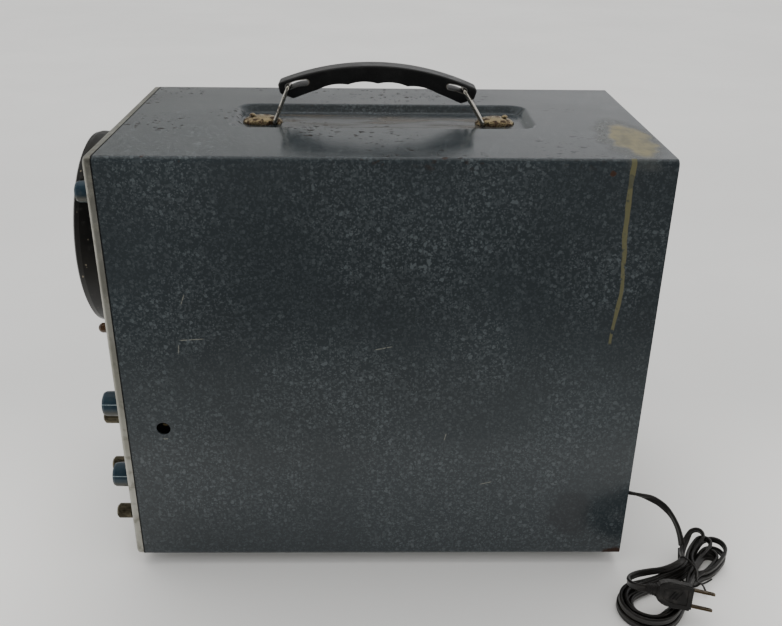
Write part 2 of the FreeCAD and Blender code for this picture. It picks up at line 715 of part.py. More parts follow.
def handle_grip():
    """An arched moulded grip with four finger hollows underneath."""
    mid = Vector(GRIP_MID_X, HANDLE_Y, GRIP_TOP - GRIP_ARC_R)
    half_turn = math.asin(GRIP_HALF_LENGTH / GRIP_ARC_R)

    def at(radius, turn):
        return mid + Vector(radius * math.sin(turn), 0, radius * math.cos(turn))

    low_r = GRIP_ARC_R - GRIP_THICK
    finger = 23.5 / low_r
    edges = [Part.Arc(at(GRIP_ARC_R, -half_turn), at(GRIP_ARC_R, 0), at(GRIP_ARC_R, half_turn)).toShape()]
    tip_turn = half_turn - 0.035
    edges.append(Part.makeLine(at(GRIP_ARC_R, half_turn), at(low_r + 5.5, half_turn + 0.006)))
    edges.append(Part.makeLine(at(low_r + 5.5, half_turn + 0.006), at(low_r - 1.5, tip_turn)))
    last = at(low_r - 1.5, tip_turn)
    start = at(low_r, 2 * finger)
    edges.append(Part.Arc(last, at(low_r - 0.9, (tip_turn + 2 * finger) / 2), start).toShape())
    for k in (2, 1, 0, -1):
        a, b = k * finger, (k - 1) * finger
        edges.append(Part.Arc(at(low_r, a), at(low_r + 1.5, (a + b) / 2), at(low_r, b)).toShape())
    start = at(low_r, -2 * finger)
    last = at(low_r - 1.5, -tip_turn)
    edges.append(Part.Arc(start, at(low_r - 0.9, -(tip_turn + 2 * finger) / 2), last).toShape())
    edges.append(Part.makeLine(last, at(low_r + 5.5, -half_turn - 0.006)))
    edges.append(Part.makeLine(at(low_r + 5.5, -half_turn - 0.006), at(GRIP_ARC_R, -half_turn)))
    face = Part.Face(Part.Wire(Part.__sortEdges__(edges)))
    face.translate(Vector(0, -GRIP_HALF_WIDTH, 0))
    grip = face.extrude(Vector(0, 2 * GRIP_HALF_WIDTH, 0))
    corners = [e for e in grip.Edges if e.BoundBox.YLength > 2 * GRIP_HALF_WIDTH - 0.1
               and abs(e.CenterOfMass.x - GRIP_MID_X) > GRIP_HALF_LENGTH - 5]
    grip = grip.makeFillet(2.5, corners)
    rims = [e for e in grip.Edges if e.BoundBox.YLength < 0.01 and e.BoundBox.XLength > 100]
    grip = grip.makeFillet(2.2, rims)
    grip.rotate(Vector(GRIP_MID_X, HANDLE_Y, GRIP_TOP), Vector(0, 1, 0), GRIP_TILT)
    return grip.cut(slot_tool("left")).cut(slot_tool("right"))


def wire_loop(corners, radius, bend):
    """A closed loop of round wire through square corners, each bent to the same radius."""
    parts = []
    count = len(corners)
    for k in range(count):
        corner = corners[k]
        inward = (corner - corners[k - 1]).normalize()
        outward = (corners[(k + 1) % count] - corner).normalize()
        start = corner - inward * bend
        section = Part.Face(Part.Wire(Part.makeCircle(radius, start, inward)))
        parts.append(section.revolve(start + outward * bend, inward.cross(outward), 90))
        run = (corners[(k + 1) % count] - corner).Length - 2 * bend
        parts.append(Part.makeCylinder(radius, run, corner + outward * bend, outward))
    return joined(parts)


def handle_link(side):
    """A closed loop of wire that stands astride the grip's end."""
    pivot_x, inward, lean, _ = LINKS[side]
    turn = math.radians(lean)
    foot_at = Vector(pivot_x, HANDLE_Y, PIVOT_Z)
    head_at = foot_at + Vector(inward * LINK_LENGTH * math.sin(turn), 0, LINK_LENGTH * math.cos(turn))
    half = Vector(0, LINK_HALF_Y, 0)
    return wire_loop([foot_at - half, foot_at + half, head_at + half, head_at - half], LINK_WIRE, LINK_BEND)


def handle_plate(side):
    """A domed oval plate on the recess floor that holds the link's lower wire."""
    pivot_x, inward, _, _ = LINKS[side]
    mid_x = pivot_x - inward * (PLATE_LENGTH / 2 - 5.5)
    ball = Part.makeSphere(1.0)
    stretch = FreeCAD.Matrix()
    stretch.scale(PLATE_LENGTH / 2, PLATE_WIDTH / 2, PLATE_RISE)
    dome = ball.transformGeometry(stretch)
    dome.translate(Vector(mid_x, HANDLE_Y, RECESS_FLOOR))
    dome = dome.common(block(mid_x - 20, HANDLE_Y - 20, RECESS_FLOOR + 0.05, mid_x + 20,
                             HANDLE_Y + 20, RECESS_FLOOR + 9))
    room = LINK_WIRE + 0.35
    channel = rod(room, (pivot_x, HANDLE_Y - 14, PIVOT_Z), (pivot_x, HANDLE_Y + 14, PIVOT_Z))
    below = block(pivot_x - room, HANDLE_Y - 14, RECESS_FLOOR - 1, pivot_x + room, HANDLE_Y + 14, PIVOT_Z)
    hole_x = plate_rivet_places()[0 if side == "left" else 1][0]
    hole = rod(1.7, (hole_x, HANDLE_Y, RECESS_FLOOR - 1), (hole_x, HANDLE_Y, RECESS_FLOOR + 9))
    swing = []
    for edge_y in (-1, 1):
        near = HANDLE_Y + edge_y * (LINK_HALF_Y - LINK_BEND - 0.6)
        start = (pivot_x, near, PIVOT_Z)
        swing.append(rod(LINK_BEND + LINK_WIRE + 0.5, start, (pivot_x, near + edge_y * 8, PIVOT_Z)))
    return cut_all(dome, [channel, below, hole] + swing)


def plate_rivet(x, y):
    seat = RECESS_FLOOR + 5.8
    shank = rod(1.6, (x, y, RECESS_FLOOR - 3.5), (x, y, seat))
    head = Part.makeSphere(3.2, Vector(x, y, seat - 1.6))
    head = head.common(block(x - 4, y - 4, seat, x + 4, y + 4, seat + 4))
    tail = rod(3.0, (x, y, RECESS_FLOOR - 4.4), (x, y, RECESS_FLOOR - 2.6))
    return joined([shank, head, tail])


# ---- mains cord -----------------------------------------------------------------------------
def cord_gland():
    y, z = GLAND
    inside = REAR_FACE - SHEET
    profile = [
        (inside - 12.0, 3.1), (inside - 12.0, 6.5), (inside, 6.5), (inside, 4.9), (REAR_FACE, 4.9),
        (REAR_FACE, 6.8), (REAR_FACE + 3.0, 6.8), (GLAND_TIP_X, 4.4), (GLAND_TIP_X, 3.1),
    ]
    return turned(profile, y, z)


def cord_lead():
    """Straight runs joined by tangent arcs, swept with the cord's round section."""
    route = [Vector(*p) for p in LEAD_ROUTE]
    edges = []
    length = 0.0
    here = route[0]
    for before, corner, after in zip(route, route[1:], route[2:]):
        inward = (corner - before).normalize()
        outward = (after - corner).normalize()
        half = inward.getAngle(outward) / 2
        cut_back = 0.45 * min((corner - before).Length, (after - corner).Length)
        radius = cut_back / math.tan(half)
        print("lead radius %.1f" % radius)
        first = corner - inward * cut_back
        last = corner + outward * cut_back
        bulge = (first + last) * 0.5
        centre = corner + (bulge - corner).normalize() * (radius / math.cos(half))
        middle = centre + (corner - centre).normalize() * radius
        edges.append(Part.LineSegment(here, first).toShape())
        edges.append(Part.Arc(first, middle, last).toShape())
        length += (first - here).Length + 2 * half * radius
        here = last
    edges.append(Part.LineSegment(here, route[-1]).toShape())
    length += (route[-1] - here).Length
    path = Part.Wire(edges)
    start = (route[1] - route[0]).normalize()
    section = Part.Wire(Part.makeCircle(CORD_D / 2, route[0], start))
    tube = path.makePipeShell([section], True, False)
    expected = math.pi * (CORD_D / 2) ** 2 * length
    print("lead length %.1f, volume %.0f, section times length %.0f" % (length, tube.Volume, expected))
    return tube


def tapered_link(start, start_half, end, end_half, height):
    """A flat-sided bridge between two upright discs."""
    a = Vector(start[0], start[1], 0)
    b = Vector(end[0], end[1], 0)
    along = (b - a).normalize()
    across = Vector(-along.y, along.x, 0)
    corners = [a + across * start_half, b + across * end_half, b - across * end_half, a - across * start_half]
    return Part.Face(Part.makePolygon(corners + corners[:1])).extrude(Vector(0, 0, height))


def cord_hank():
    """The outer shape of the tied hank: two lobes and the waist that the tie pinches."""
    parts = []
    for x, y, radius, height in (HANK_NEAR, HANK_FAR, HANK_WAIST):
        parts.append(rod(radius, (x, y, 0), (x, y, height)))
    parts.append(tapered_link(HANK_NEAR, HANK_NEAR[2] * 0.8, HANK_WAIST, HANK_WAIST[2], HANK_WAIST[3]))
    parts.append(tapered_link(HANK_WAIST, HANK_WAIST[2], HANK_FAR, HANK_FAR[2] * 0.8, HANK_WAIST[3]))
    hole = rod(HANK_HOLE_R, (HANK_NEAR[0], HANK_NEAR[1], -1), (HANK_NEAR[0], HANK_NEAR[1], 40))
    return joined(parts).cut(hole)


def cord_tie():
    x, y, radius, _ = HANK_WAIST
    along = Vector(HANK_FAR[0] - x, HANK_FAR[1] - y, 0)
    return Part.makeTorus(radius, 1.0, Vector(x, y, radius + 1.05), along)


def lay_plug(shape):
    """Turn the plug from lying along +X at the origin to how it lies on the hank."""
    shape.rotate(Vector(0, 0, 0), Vector(1, 0, 0), -26.0)
    shape.rotate(Vector(0, 0, 0), Vector(0, 1, 0), 6.0)
    shape.rotate(Vector(0, 0, 0), Vector(0, 0, 1), -12.0)
    shape.translate(Vector(*PLUG_MID))
    return shape


def plug_body():
    length, wide, thick = PLUG_SIZE
    points = [
        Vector(-length / 2, -thick / 2, -wide * 0.36), Vector(-length / 2, -thick / 2, wide * 0.36),
        Vector(-length / 4, -thick / 2, wide / 2), Vector(length / 2, -thick / 2, wide / 2),
        Vector(length / 2, -thick / 2, -wide / 2), Vector(-length / 4, -thick / 2, -wide / 2),
    ]
    body = Part.Face(Part.makePolygon(points + points[:1])).extrude(Vector(0, thick, 0))
    body = body.makeFillet(2.0, body.Edges)
    neck = rod(4.2, (-length / 2 - 7, 0, 0), (-length / 2 + 2, 0, 0))
    body = joined([body, neck])
    slots = []
    for side in (-1, 1):
        mid = side * BLADE_SPACING / 2
        slots.append(block(length / 2 - 8, -BLADE[1] / 2, mid - BLADE[2] / 2, length / 2 + 1,
                           BLADE[1] / 2, mid + BLADE[2] / 2))
    return lay_plug(cut_all(body, slots))


def plug_blade(side):
    length, wide, thick = BLADE
    mid = side * BLADE_SPACING / 2
    start = PLUG_SIZE[0] / 2
    blade = block(start - 7.9, -wide / 2, mid - thick / 2, start + length, wide / 2, mid + thick / 2)
    tips = [e for e in blade.Edges if e.BoundBox.ZLength > thick - 0.01 and e.CenterOfMass.x > start]
    blade = blade.makeFillet(1.8, tips)
    hole_x = start + length - 4.5
    return lay_plug(blade.cut(rod(1.6, (hole_x, 0, mid - 2), (hole_x, 0, mid + 2))))


# ---- every node ------------------------------------------------------------------------------
keep("cabinet_shell", cabinet_shell())
keep("front_trim", front_trim())
keep("front_panel", front_panel())
keep("rear_panel", rear_panel())
keep("trim_screws", *[trim_screw(y, z) for y, z in trim_screw_places()])
keep("rear_screws", *[machine_screw((REAR_FACE, y, z), 1, 3.2, 1.9, 1.5, 6) for y, z in rear_screw_places()])
keep("feet", *[foot(x, y) for x, y in foot_places()])
keep("foot_screws", *[foot_screw(x, y) for x, y in foot_places()])
keep("crt_bezel", crt_bezel())
keep("graticule", graticule())
keep("crt_tube", crt_tube())
keep("crt_base", crt_base())
keep("crt_socket", crt_socket())
keep("crt_cushion", crt_cushion())
keep("crt_shield", crt_shield())
keep("crt_clamp", crt_clamp())
keep("chassis", chassis())
keep("chassis_brackets", chassis_bracket(-1).cut(
    rod(2.3, (ACCESS[0], -HALF_W, ACCESS[1]), (ACCESS[0], 0, ACCESS[1]))), chassis_bracket(1))
core, bells = transformer()
keep("transformer_core", core)
keep("transformer_bells", *bells)
keep("filter_cans", *[filter_can(x, y) for x, y in CAN_PLACES])
keep("valve_sockets", *[valve_socket(x, y) for x, y in VALVE_PLACES])
keep("valves", *[valve(x, y) for x, y in VALVE_PLACES])
keep("potentiometers", *[pot_case(y, BASE_Z + z) for _, y, z in KNOBS])
keep("rotary_switches", *[switch_case(y, BASE_Z + z) for _, y, z in SELECTORS])
keep("control_nuts", toggle_nut(), *[control_nut(y, BASE_Z + z) for _, y, z in KNOBS + SELECTORS])
for name, y, z in KNOBS:
    radius = SMALL_KNOB_R if name in SMALL_KNOBS else KNOB_R
    keep("knob_" + name, round_knob(y, BASE_Z + z, radius),
         shaft(y, BASE_Z + z, PANEL_BACK + 10, FRONT_X - KNOB_REACH + 5))
for name, y, z in SELECTORS:
    keep("selector_" + name, pointer_knob(y, BASE_Z + z),
         shaft(y, BASE_Z + z, PANEL_BACK + 29, FRONT_X - KNOB_REACH + 5))
keep("toggle_body", toggle_body())
keep("toggle_lever", toggle_lever())
keep("pilot_holder", pilot_holder())
keep("pilot_jewel", pilot_jewel())
keep("post_bases", *[post_base(y, BASE_Z + z) for _, y, z in POSTS])
for name, y, z in POSTS:
    reach = GROUND_REACH if name.endswith("_ground") else POST_REACH
    keep("post_cap_" + name, post_cap(y, BASE_Z + z, reach))
keep("side_trimmer", side_trimmer())
keep("handle_grip", handle_grip())
for side in LINKS:
    keep("handle_link_" + side, handle_link(side))
keep("handle_plates", *[handle_plate(side) for side in LINKS])
keep("plate_rivets", *[plate_rivet(x, y) for x, y in plate_rivet_places()])
keep("cord_gland", cord_gland())
keep("cord_lead", cord_lead())
keep("cord_hank", cord_hank())
keep("cord_tie", cord_tie())
keep("plug_body", plug_body())
keep("plug_blades", plug_blade(-1), plug_blade(1))

os.makedirs("parts", exist_ok=True)
for name, solids in NODES.items():
    shape = solids[0] if len(solids) == 1 else Part.makeCompound(solids)
    if not shape.isValid() or not solids:
        print("not valid:", name)
    shape.exportStep("parts/%s.step" % name)
print(len(NODES), "nodes,", sum(len(solids) for solids in NODES.values()), "solids")
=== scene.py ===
import json
import math

import bmesh
import bpy
import numpy as np
from mathutils import Matrix, Vector


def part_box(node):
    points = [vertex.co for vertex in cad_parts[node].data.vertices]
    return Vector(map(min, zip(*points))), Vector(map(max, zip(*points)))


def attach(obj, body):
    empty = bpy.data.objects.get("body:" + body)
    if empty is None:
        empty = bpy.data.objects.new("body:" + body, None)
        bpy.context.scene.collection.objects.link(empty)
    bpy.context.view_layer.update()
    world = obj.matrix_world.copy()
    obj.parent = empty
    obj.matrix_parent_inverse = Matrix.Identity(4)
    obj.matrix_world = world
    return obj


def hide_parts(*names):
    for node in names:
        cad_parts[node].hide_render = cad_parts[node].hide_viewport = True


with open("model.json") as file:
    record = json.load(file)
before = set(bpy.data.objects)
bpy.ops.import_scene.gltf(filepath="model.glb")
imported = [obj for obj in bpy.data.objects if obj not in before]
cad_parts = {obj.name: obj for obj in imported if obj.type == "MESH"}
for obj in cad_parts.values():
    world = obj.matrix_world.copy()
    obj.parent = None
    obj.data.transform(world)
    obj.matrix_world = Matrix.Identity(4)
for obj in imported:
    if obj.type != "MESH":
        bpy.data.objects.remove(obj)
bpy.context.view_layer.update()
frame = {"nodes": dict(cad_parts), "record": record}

# ---- camera ------------------------------------------------------------------------------
# A short portrait lens on a tripod in front of the instrument's right-hand side, a little
# above its top, looking down on it.
stand = Vector((0.0076, -0.7156, 0.5322))
turned_right, tipped_down, leaning = 0.0216, 0.4532, 0.0125
looking = Vector((
    math.sin(turned_right) * math.cos(tipped_down),
    math.cos(turned_right) * math.cos(tipped_down),
    -math.sin(tipped_down),
))
level = looking.cross(Vector((0, 0, 1))).normalized()
upright = level.cross(looking)
right = level * math.cos(leaning) + upright * math.sin(leaning)
up = upright * math.cos(leaning) - level * math.sin(leaning)

lens = bpy.data.cameras.new("camera")
lens.sensor_width = 36
lens.lens = 41.35
camera = bpy.data.objects.new("camera", lens)
bpy.context.scene.collection.objects.link(camera)
camera.matrix_world = Matrix((right, up, -looking)).transposed().to_4x4()
camera.location = stand
bpy.context.scene.camera = camera

# ---- mains cord --------------------------------------------------------------------------
# Flat two-core cord in dark vinyl, two insulated wires moulded side by side.  It leaves a
# rubber gland in the rear panel, drops to the bench and is wound there into a tied hank.
lead_route = [
    (0.2260, -0.0920, 0.0575),
    (0.2400, -0.0935, 0.0560),
    (0.2560, -0.0970, 0.0495),
    (0.2680, -0.1020, 0.0360),
    (0.2740, -0.1085, 0.0195),
    (0.2735, -0.1160, 0.0060),
]
hank_near = Vector((0.236, -0.172, 0.0))
hank_far = Vector((0.298, -0.104, 0.0))
hank_axis = (hank_far - hank_near).normalized()
hank_side = Vector((hank_axis.y, -hank_axis.x, 0.0))
near_lobe = (-0.004, -0.005)
# radius and height of each turn round the near lobe
near_loops = [
    (0.0245, 0.0034), (0.0208, 0.0034), (0.0172, 0.0040),
    (0.0138, 0.0048), (0.0232, 0.0098), (0.0190, 0.0102),
]
# reach along the hank, middle across it, half width, height, rise of the far end
far_loops = [
    (0.0955, 0.0095, 0.0100, 0.0036, 0.0040),
    (0.0880, 0.0100, 0.0070, 0.0036, 0.0000),
    (0.0975, 0.0080, 0.0112, 0.0098, 0.0060),
    (0.0850, 0.0085, 0.0072, 0.0098, 0.0020),
    (0.0890, 0.0005, 0.0064, 0.0130, 0.0060),
    (0.0900, -0.0070, 0.0062, 0.0115, 0.0120),
]


def in_hank(along, across, height):
    return hank_near + hank_axis * along + hank_side * across + Vector((0, 0, height))


def tie_slot(turn, bundle):
    """Where a strand passes under the tie, in the left or the right bundle."""
    across = {"left": -0.0016, "right": 0.0062}[bundle] + 0.0033 * (turn % 2)
    return across, 0.0034 + 0.0058 * (turn // 2)


def near_turn(turn):
    """Round the near lobe, from the left bundle to the right one."""
    radius, height = near_loops[turn]
    across, tied = tie_slot(turn, "left")
    points = [(0.049, across, tied)]
    points.append((0.031, -0.003 - 0.20 * radius, (tied + height) / 2))
    points.append((0.013, -0.004 - 0.64 * radius, height))
    for degrees in (80, 112, 145, 178, 212, 246, 278):
        angle = math.radians(degrees)
        along = near_lobe[0] + radius * math.cos(angle)
        points.append((along, near_lobe[1] - radius * math.sin(angle), height))
    points.append((0.020, 0.005 + 0.46 * radius, height))
    across, tied = tie_slot(turn, "right")
    points.append((0.039, across + 0.001, (tied + height) / 2))
    return points


def far_turn(turn):
    """Round the far lobe, from the right bundle back to the left one."""
    reach, middle, half, height, rise = far_loops[turn]
    across, tied = tie_slot(turn, "right")
    points = [(0.051, across + 0.0015, tied), (0.063, middle + half * 0.85, (tied + height) / 2)]
    for degrees in (90, 50, 12, -26, -62, -95):
        angle = math.radians(degrees)
        along = reach - half + half * math.cos(angle)
        lift = rise * max(0.0, (along - 0.066) / (reach - 0.066))
        points.append((along, middle + half * math.sin(angle), height + lift))
    points.append((0.064, (middle - half) * 0.8, (tied + height) / 2))
    return points


hank_route = []
for turn in range(len(far_loops)):
    hank_route += near_turn(turn) + far_turn(turn)
hank_route += [
    (0.0490, -0.0010, 0.0205), (0.0310, -0.0080, 0.0180), (0.0180, -0.0205, 0.0165),
    (0.0064, -0.0268, 0.0170), (-0.0030, -0.0258, 0.0190), (-0.0092, -0.0200, 0.0222),
    (-0.0112, -0.0130, 0.0248), (-0.0082, -0.0062, 0.0260),
]
cord_route = [Vector(point) for point in lead_route] + [in_hank(*point) for point in hank_route]


def along_spline(name, route, steps):
    """The points of the smooth line through a route's control points."""
    curve = bpy.data.curves.new(name, "CURVE")
    curve.dimensions = "3D"
    curve.resolution_u = steps
    spline = curve.splines.new("NURBS")
    spline.points.add(len(route) - 1)
    for point, place in zip(spline.points, route):
        point.co = (*place, 1.0)
    spline.order_u = 3
    spline.use_endpoint_u = True
    guide = bpy.data.objects.new(name, curve)
    bpy.context.scene.collection.objects.link(guide)
    bpy.context.view_layer.update()
    line = bpy.data.meshes.new_from_object(guide)
    points = np.array([vertex.co for vertex in line.vertices])
    bpy.data.objects.remove(guide)
    bpy.data.meshes.remove(line)
    return points


def directions(points):
    """The way ahead at each point of a line."""
    runs = np.gradient(points, axis=0)
    return runs / np.linalg.norm(runs, axis=1)[:, None]


def lying_flat(points, window):
    """The direction of the cord's width at each point: a flat cord bends over its thin side."""
    ahead = directions(points)
    bend = np.cross(ahead[:-1], ahead[1:])
    bend = np.vstack([bend, bend[-1:]])
    spread = np.einsum("ni,nj->nij", bend, bend)
    reach = np.hanning(2 * window + 1)
    smooth = np.empty_like(spread)
    for row in range(3):
        for column in range(3):
            smooth[:, row, column] = np.convolve(spread[:, row, column], reach, "same")
    widths = np.linalg.eigh(smooth)[1][:, :, -1]
    for k in range(1, len(widths)):
        if widths[k] @ widths[k - 1] < 0:
            widths[k] = -widths[k]
    return widths


def swept(name, points, widths, outline):
    """A closed tube with the given outline, whose width lies along widths."""
    ahead = directions(points)
    shape = bmesh.new()
    rings = []
    for place, forward, width in zip(points, ahead, widths):
        across = Vector(width - (width @ forward) * forward).normalized()
        rise = Vector(forward).cross(across)
        ring = [shape.verts.new(Vector(place) + across * a + rise * b) for a, b in outline]
        rings.append(ring)
    bridge(shape, rings)
    shape.faces.new(rings[0][::-1])
    shape.faces.new(rings[-1])
    return finished(name, shape)


def bridge(shape, rings):
    """The faces between each ring of points and the next."""
    count = len(rings[0])
    for before, after in zip(rings, rings[1:]):
        for k in range(count):
            shape.faces.new((before[k], before[(k + 1) % count], after[(k + 1) % count], after[k]))


def finished(name, shape, smooth=True):
    """Turn a bmesh into an object in the scene."""
    bmesh.ops.recalc_face_normals(shape, faces=shape.faces)
    for face in shape.faces:
        face.smooth = smooth
    mesh = bpy.data.meshes.new(name)
    shape.to_mesh(mesh)
    shape.free()
    made = bpy.data.objects.new(name, mesh)
    bpy.context.scene.collection.objects.link(made)
    return made


class Flow:
    """One output of a finish's nodes.  Arithmetic on it adds the nodes that work it out."""

    def __init__(self, tree, socket):
        self.tree = tree
        self.socket = socket

    def node(self, kind, settings=None, inputs=None, output=0):
        made = self.tree.nodes.new(kind)
        for name, value in (settings or {}).items():
            if name == "stops":
                while len(made.color_ramp.elements) < len(value):
                    made.color_ramp.elements.new(0.5)
                for stop, (place, colour) in zip(made.color_ramp.elements, value):
                    stop.position = place
                    stop.color = colour
            else:
                setattr(made, name, value)
        for name, value in (inputs or {}).items():
            if isinstance(value, Flow):
                self.tree.links.new(value.socket, made.inputs[name])
            else:
                made.inputs[name].default_value = value
        return Flow(self.tree, made.outputs[output])

    def maths(self, operation, *values):
        return self.node("ShaderNodeMath", {"operation": operation}, dict(enumerate(values)))

    def __add__(self, other):
        return self.maths("ADD", self, other)

    __radd__ = __add__

    def __sub__(self, other):
        return self.maths("SUBTRACT", self, other)

    def __rsub__(self, other):
        return self.maths("SUBTRACT", other, self)

    def __mul__(self, other):
        return self.maths("MULTIPLY", self, other)

    __rmul__ = __mul__

    def __abs__(self):
        return self.maths("ABSOLUTE", self)

    def most(self, other):
        return self.maths("MAXIMUM", self, other)

    def step(self, low, high):
        """A soft step from 0 at low to 1 at high."""
        inputs = {"Value": self, "From Min": low, "From Max": high}
        return self.node("ShaderNodeMapRange", {"interpolation_type": "SMOOTHSTEP"}, inputs)

    def axis(self, letter):
        return self.node("ShaderNodeSeparateXYZ", {}, {"Vector": self}, letter)

    def stretched(self, x, y, z):
        return self.node("ShaderNodeVectorMath", {"operation": "MULTIPLY"}, {0: self, 1: (x, y, z)})

    def noise(self, scale, detail=3.0, output="Fac"):
        inputs = {"Vector": self, "Scale": scale, "Detail": detail}
        return self.node("ShaderNodeTexNoise", {}, inputs, output)

    def jittered(self, scale, amount):
        """This place, pushed about by noise, so that edges laid on it come out ragged."""
        push = {0: self.noise(scale, 2.0, "Color"), 1: (amount,) * 3, 2: self}
        return self.node("ShaderNodeVectorMath", {"operation": "MULTIPLY_ADD"}, push)

    def spots(self, scale, share, size):
        """Round spots in a share of the cells of a random grid."""
        inputs = {"Vector": self, "Scale": scale}
        distance = self.node("ShaderNodeTexVoronoi", {}, inputs, "Distance")
        colour = self.node("ShaderNodeTexVoronoi", {}, inputs, "Color")
        chance = colour.node("ShaderNodeSeparateColor", {}, {"Color": colour}, "Red")
        grown = colour.node("ShaderNodeSeparateColor", {}, {"Color": colour}, "Green")
        picked = chance.maths("LESS_THAN", chance, share)
        return (size * (0.55 + 0.9 * grown) - distance).step(0.0, 0.10) * picked

    def patch(self, middle, half):
        """1 inside an oval patch, fading to 0 round it."""
        offset = self.node("ShaderNodeVectorMath", {"operation": "SUBTRACT"}, {0: self, 1: middle})
        scaled = offset.stretched(*[1.0 / size for size in half])
        length = scaled.node("ShaderNodeVectorMath", {"operation": "LENGTH"}, {0: scaled}, "Value")
        return length.step(1.15, 0.85)

    def tint(self, under, over):
        """The colour under where this is 0, and over where it is 1."""
        return self.node("ShaderNodeMix", {"data_type": "RGBA"}, {0: self, 6: under, 7: over}, 2)

    def bump(self, depth, strength=1.0):
        inputs = {"Strength": strength, "Distance": depth, "Height": self}
        return self.node("ShaderNodeBump", {}, inputs)


def start_finish(name, **fixed):
    """A new finish with its fixed values, and the place on the piece that its pattern follows."""
    material = bpy.data.materials.new(name)
    material.use_nodes = True
    tree = material.node_tree
    for words, value in fixed.items():
        tree.nodes["Principled BSDF"].inputs[words.replace("_", " ")].default_value = value
    where = tree.nodes.new("ShaderNodeTexCoord")
    return material, Flow(tree, where.outputs["Object"])


def lay_on(material, **varying):
    """Feed what changes over the surface into the finish."""
    tree = material.node_tree
    for words, flow in varying.items():
        tree.links.new(flow.socket, tree.nodes["Principled BSDF"].inputs[words.replace("_", " ")])
    return material


def dress(material, *nodes):
    """Give the finish to the named parts of the frame."""
    for node in nodes:
        for slot in frame["nodes"][node].material_slots:
            slot.material = material


def vinyl_finish():
    material, place = start_finish("cord_vinyl", Specular_IOR_Level=0.45)
    scuffs = place.noise(90, 5).step(0.50, 0.75)
    dust = place.noise(700, 2).step(0.55, 0.75) * 0.35
    colour = scuffs.tint((0.008, 0.007, 0.006, 1), (0.020, 0.017, 0.014, 1))
    return lay_on(
        material,
        Base_Color=dust.tint(colour, (0.05, 0.046, 0.04, 1)),
        Roughness=0.34 + scuffs * 0.18 + dust * 0.3,
        Normal=place.noise(500, 3).bump(0.00012, 0.5),
    )


cord_finish = vinyl_finish()
core = 0.0015
cord_outline = []
for side in (1, -1):
    for degrees in range(-112, 113, 28):
        angle = math.radians(degrees)
        cord_outline.append((side * (core + core * math.cos(angle)), side * core * math.sin(angle)))
    cord_outline.append((0.0, side * core * 0.62))
cord_points = along_spline("cord_line", cord_route, 6)
cord_widths = lying_flat(cord_points, 9)

# the lead rolls over once, soon after it leaves the gland
lead_reach, roll_at, roll_spread, settled = 0.075, 0.028, 0.012, 0.9
lead_facing = Vector((0.25, -0.95, 0.18))
walked = np.concatenate([[0], np.cumsum(np.linalg.norm(np.diff(cord_points, axis=0), axis=1))])
for k, (far, forward) in enumerate(zip(walked, directions(cord_points))):
    if far < lead_reach:
        roll = math.radians(-38 + 95 * math.exp(-((far - roll_at) / roll_spread) ** 2)) + settled
        level_width = Vector(forward).cross(lead_facing).normalized()
        sideways = Vector(forward).cross(level_width)
        cord_widths[k] = level_width * math.sin(roll) + sideways * math.cos(roll)
mains_cord = swept("mains_cord", cord_points, cord_widths, cord_outline)
mains_cord.data.materials.append(cord_finish)
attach(mains_cord, "cabinet")
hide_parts("cord_lead", "cord_hank")

# ---- tie ---------------------------------------------------------------------------------
# A length of plastic-covered wire, passed once round the waist of the hank, crossed over
# itself at the side and left with two short tails.
tie_wire = 0.0008
tie_route = [in_hank(*point) for point in (
    (0.0565, 0.0215, 0.0085), (0.0500, 0.0185, 0.0060), (0.0455, 0.0155, 0.0070),
    (0.0440, 0.0128, 0.0120), (0.0455, 0.0115, 0.0190), (0.0470, 0.0050, 0.0235),
    (0.0480, -0.0020, 0.0245), (0.0490, -0.0058, 0.0205), (0.0490, -0.0062, 0.0100),
    (0.0480, -0.0050, 0.0022), (0.0465, 0.0020, 0.0012), (0.0450, 0.0110, 0.0014),
    (0.0442, 0.0142, 0.0045), (0.0450, 0.0165, 0.0085), (0.0480, 0.0172, 0.0062),
    (0.0470, 0.0205, 0.0035), (0.0430, 0.0240, 0.0030),
)]


def round_outline(radius, count):
    turns = [2 * math.pi * k / count for k in range(count)]
    return [(radius * math.cos(turn), radius * math.sin(turn)) for turn in turns]


tie_points = along_spline("tie_line", tie_route, 8)
steady = np.tile(np.array([0.3, 0.2, 0.93]), (len(tie_points), 1))
cord_tie = swept("twisted_tie", tie_points, steady, round_outline(tie_wire, 10))
cord_tie.data.materials.append(cord_finish)
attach(cord_tie, "cabinet")
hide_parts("cord_tie")

# ---- mains plug --------------------------------------------------------------------------
# A moulded vinyl two-blade plug with a finger panel sunk in each broad face, three ridges
# across the panel and a ribbed sleeve over the cord.  The blades are tarnished brass.
plug_length, plug_wide, plug_thick, panel_sunk = 0.027, 0.020, 0.012, 0.0008
plug_middle = Vector((0.246, -0.178, 0.024))
laid = (
    Matrix.Translation(plug_middle)
    @ Matrix.Rotation(math.radians(-12), 4, "Z")
    @ Matrix.Rotation(math.radians(6), 4, "Y")
    @ Matrix.Rotation(math.radians(-26), 4, "X")
)


def add_prism(shape, outline, low, high):
    """A closed prism over an outline in X and Z, from low to high along Y."""
    floor = [shape.verts.new((x, low, z)) for x, z in outline]
    roof = [shape.verts.new((x, high, z)) for x, z in outline]
    count = len(outline)
    shape.faces.new(floor)
    shape.faces.new(roof[::-1])
    for k in range(count):
        shape.faces.new((floor[k], roof[k], roof[(k + 1) % count], floor[(k + 1) % count]))


def add_box(shape, low, high):
    add_prism(shape, [(low[0], low[2]), (high[0], low[2]), (high[0], high[2]), (low[0], high[2])],
              low[1], high[1])


